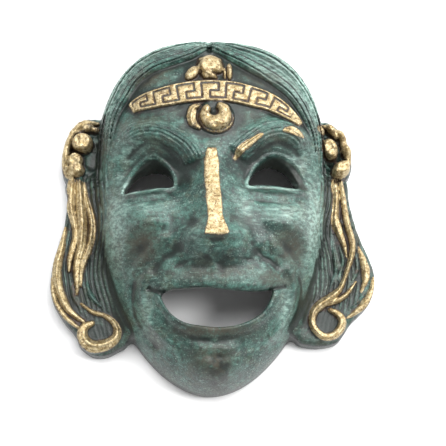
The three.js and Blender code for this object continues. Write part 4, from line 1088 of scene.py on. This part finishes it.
def make_mask(bronze):
    """The whole casting as one mesh, with the finish fields on its points."""
    xs, ys, zs, metal, plans = sculpt()
    points, faces = skin_of(metal, xs, ys, zs)
    mesh = thinned(mesh_from("mask", points, faces), MOST_TRIANGLES)
    places = points_of(mesh, "co")
    upward = points_of(mesh, "normal")[:, 2]
    front = smooth(-0.35, 0.1, upward)
    # gilding and rust end at the top of the steep outer walls
    off_wall = 1.0 - smooth(0.5, 0.25, upward) * smooth(9.0, 6.5, places[:, 2])
    x, y = np.meshgrid(xs, ys, indexing="ij")
    for name, field in plans.items():
        layer = mesh.attributes.new(name, "FLOAT", "POINT")
        value = sample(field, x, y, places) * front
        # the inside of the casting is painted dark all over, as painted shade that keeps the eye and mouth
        # holes dark
        value = value + 1.0 - front if name == "sunk" else value * off_wall
        layer.data.foreach_set("value", value.astype(np.float32))
    places = (places - np.array([CENTRE[0], CENTRE[1], 0.0])) * MM
    mesh.vertices.foreach_set("co", places.astype(np.float32).ravel())
    mesh.polygons.foreach_set("use_smooth", np.ones(len(mesh.polygons), dtype=bool))
    mesh.materials.append(bronze)
    mesh.update()
    piece = bpy.data.objects.new("cast_mask", mesh)
    bpy.context.scene.collection.objects.link(piece)
    return piece


# Materials

def linear(hex_value):
    """sRGB hex as linear RGBA."""
    channels = [((hex_value >> shift) & 255) / 255 for shift in (16, 8, 0)]
    return tuple(c / 12.92 if c <= 0.04045 else ((c + 0.055) / 1.055) ** 2.4 for c in channels) + (1.0,)


def add(tree, kind, settings=None, **links):
    """Add a node with its settings, and link or set its inputs by name or by number."""
    node = tree.nodes.new(kind)
    for name, value in (settings or {}).items():
        setattr(node, name, value)
    for name, value in links.items():
        by_number = name[0] == "i" and name[1:].isdigit()
        socket = node.inputs[int(name[1:]) if by_number else name.replace("_", " ")]
        if isinstance(value, bpy.types.NodeSocket):
            tree.links.new(value, socket)
        else:
            socket.default_value = value
    return node


def new_material(name):
    """An empty material with its node tree."""
    material = bpy.data.materials.new(name)
    material.use_nodes = True
    material.node_tree.nodes.clear()
    return material, material.node_tree


SOFT_STEP = {"interpolation_type": "SMOOTHSTEP"}
COLOURS = {"data_type": "RGBA"}
PLUS = {"operation": "ADD"}
TIMES = {"operation": "MULTIPLY"}
TIMES_PLUS = {"operation": "MULTIPLY_ADD"}


def patterns_in(tree):
    """Patterns by name: clouds and streaks, what the mesh says on its points, and the runs."""
    place = add(tree, "ShaderNodeTexCoord").outputs["Object"]
    scaled = add(tree, "ShaderNodeVectorMath", {"operation": "SCALE"}, i0=place, Scale=1.0 / MM)
    in_mm = scaled.outputs[0]
    found = {}
    for name, (size, detail, rough) in CLOUDS.items():
        cloud = add(
            tree, "ShaderNodeTexNoise",
            Vector=in_mm, Scale=1.0 / size, Detail=detail, Roughness=rough,
        )
        found[name] = cloud.outputs["Fac"]
    slant = add(tree, "ShaderNodeMapping", i0=in_mm, Rotation=STREAK_SLANT, Scale=STREAK_STRETCH)
    streaks = add(
        tree, "ShaderNodeTexNoise",
        Vector=slant.outputs[0], Scale=STREAKS_PER_MM, Detail=3.0, Roughness=0.65,
    )
    found["streaks"] = streaks.outputs["Fac"]
    for name in ("gilt", "sunk", "key", "brown", "pale"):
        field = add(tree, "ShaderNodeAttribute", {"attribute_name": name})
        found[name] = field.outputs["Fac"]
    # polishing has rubbed the raised parts unevenly, in broad and in fine clouds
    uneven = -WEAR_LEVEL
    for name, strength in WEAR.items():
        wear = add(tree, "ShaderNodeMath", TIMES_PLUS, i0=found[name], i1=strength, i2=uneven)
        uneven = wear.outputs[0]
    worn = add(tree, "ShaderNodeMath", PLUS, i0=found["gilt"], i1=uneven)
    found["worn"] = worn.outputs[0]
    for name, (pattern, low, high, first, last) in RUNS.items():
        run = add(
            tree, "ShaderNodeMapRange", SOFT_STEP,
            i0=found[pattern], i1=low, i2=high, i3=first, i4=last,
        )
        found[name] = run.outputs[0]
    return found


def coated(tree, found, under, coats):
    """A colour under coats of other colours, each where its pattern runs from low to high."""
    for pattern, low, high, cover, colour in coats:
        share = add(tree, "ShaderNodeMapRange", SOFT_STEP, i0=found[pattern], i1=low, i2=high, i4=cover)
        coat = add(tree, "ShaderNodeMix", COLOURS, i0=share.outputs[0], i6=under, i7=linear(colour))
        under = coat.outputs[2]
    return under


def patinated_bronze():
    """Green copper patina on cast bronze: it gives a dull mottled green, brown in places, black in the
    hollows and pale on the crests, with painted shade and painted highlights among them, and warm gleaming
    metal where the raised parts are bare."""
    material, tree = new_material("patinated_cast_bronze")
    found = patterns_in(tree)
    polish = found["polish"]

    # brown where the patina is thin and where shade is painted, pale where it is rubbed and where
    # highlights are painted
    # the brown field carries painted shade too, so this brown coat paints shade there
    rust = add(tree, "ShaderNodeMath", TIMES, i0=found["brown"], i1=found["rusted"]).outputs[0]
    rubbed_and_lit = add(
        tree, "ShaderNodeMath", TIMES_PLUS,
        i0=found["pale"], i1=PALE_STRENGTH, i2=found["on crests"],
    )
    rubbed_and_lit = add(tree, "ShaderNodeMath", TIMES, i0=rubbed_and_lit.outputs[0], i1=found["in streaks"]).outputs[0]
    green = coated(tree, found, linear(DARK_GREEN), GREEN_COATS)
    green = add(tree, "ShaderNodeMix", COLOURS, i0=rust, i6=green, i7=linear(THIN_AND_SHADED_BROWN)).outputs[2]
    green = add(tree, "ShaderNodeMix", COLOURS, i0=rubbed_and_lit, i6=green, i7=linear(PALE_WORN_AND_LIT_GREEN)).outputs[2]
    green = coated(tree, found, green, DARK_COATS)

    # the sunk lines of the meander are dirty
    cut = add(tree, "ShaderNodeMath", TIMES, i0=found["in keys"], i1=found["dirty"]).outputs[0]
    gold = coated(tree, found, linear(OLD_GOLD), GOLD_COATS)
    gold = add(tree, "ShaderNodeMix", COLOURS, i0=cut, i6=gold, i7=linear(KEY_BROWN)).outputs[2]
    colour = add(tree, "ShaderNodeMix", COLOURS, i0=polish, i6=green, i7=gold).outputs[2]

    rough = add(tree, "ShaderNodeMath", TIMES_PLUS, i0=polish, i1=POLISH_ROUGHNESS, i2=found["dullness"])
    rough = add(tree, "ShaderNodeMath", TIMES_PLUS, i0=rust, i1=RUST_ROUGHNESS, i2=rough.outputs[0])
    metal = add(tree, "ShaderNodeMath", TIMES, i0=polish, i1=POLISH_METAL)
    height = add(tree, "ShaderNodeMath", TIMES, i0=found["pits"], i1=found["relief"])
    bump = add(
        tree, "ShaderNodeBump",
        Strength=PIT_STRENGTH, Distance=PIT_DEPTH * MM, Height=height.outputs[0],
    )
    shader = add(
        tree, "ShaderNodeBsdfPrincipled",
        Base_Color=colour, Metallic=metal.outputs[0], Roughness=rough.outputs[0],
        Normal=bump.outputs[0],
    )
    add(tree, "ShaderNodeOutputMaterial", Surface=shader.outputs[0])
    return material


def matt_paper():
    """White paper under the mask: plain, without any gloss."""
    material, tree = new_material("matt_white_paper")
    shader = add(tree, "ShaderNodeBsdfPrincipled", Base_Color=linear(PAPER_WHITE), Roughness=0.9)
    add(tree, "ShaderNodeOutputMaterial", Surface=shader.outputs[0])
    return material


# Stage, light and camera

def make_floor():
    """A white ground that fills the view."""
    near, far = -FLOOR_REACH, FLOOR_REACH
    corners = [(near, near, 0), (far, near, 0), (far, far, 0), (near, far, 0)]
    mesh = bpy.data.meshes.new("floor")
    mesh.from_pydata(corners, [], [(0, 1, 2, 3)])
    mesh.materials.append(matt_paper())
    floor = bpy.data.objects.new("floor", mesh)
    bpy.context.scene.collection.objects.link(floor)


def make_lights():
    """Soft studio light: one big lamp above the crown, four smaller ones and a white room."""
    world = bpy.data.worlds.new("studio")
    world.use_nodes = True
    room = world.node_tree.nodes["Background"]
    room.inputs["Color"].default_value = (1.0, 1.0, 1.0, 1.0)
    room.inputs["Strength"].default_value = ROOM_LIGHT
    bpy.context.scene.world = world
    bpy.context.scene.view_settings.view_transform = "Standard"
    for name, (place, size, power) in LAMPS.items():
        light = bpy.data.lights.new(name, "AREA")
        light.shape = "DISK"
        light.size = size
        light.energy = power
        lamp = bpy.data.objects.new(name, light)
        lamp.location = place
        lamp.rotation_euler = (-Vector(place)).to_track_quat("-Z", "Y").to_euler()
        bpy.context.scene.collection.objects.link(lamp)


def make_camera():
    """Camera at the photograph's angle."""
    camera = bpy.data.cameras.new("camera")
    camera.lens = LENS
    camera.sensor_width = 36.0
    eye = bpy.data.objects.new("camera", camera)
    back = Vector(CAMERA_SIDE).normalized()
    forward = -back
    up = (Vector((0, 1, 0)) - forward * forward.y).normalized()
    right = forward.cross(up)
    middle = Vector((-CENTRE[0], -CENTRE[1], AIM_HEIGHT))
    target = middle + right * AIM_RIGHT - up * AIM_DOWN
    eye.location = (target + back * CAMERA_DISTANCE) * MM
    eye.rotation_euler = Matrix((right, up, back)).transposed().to_euler()
    bpy.context.scene.collection.objects.link(eye)
    bpy.context.scene.camera = eye


make_camera()
make_lights()
make_floor()
mask = make_mask(patinated_bronze())
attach(mask, "root")
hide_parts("mask")
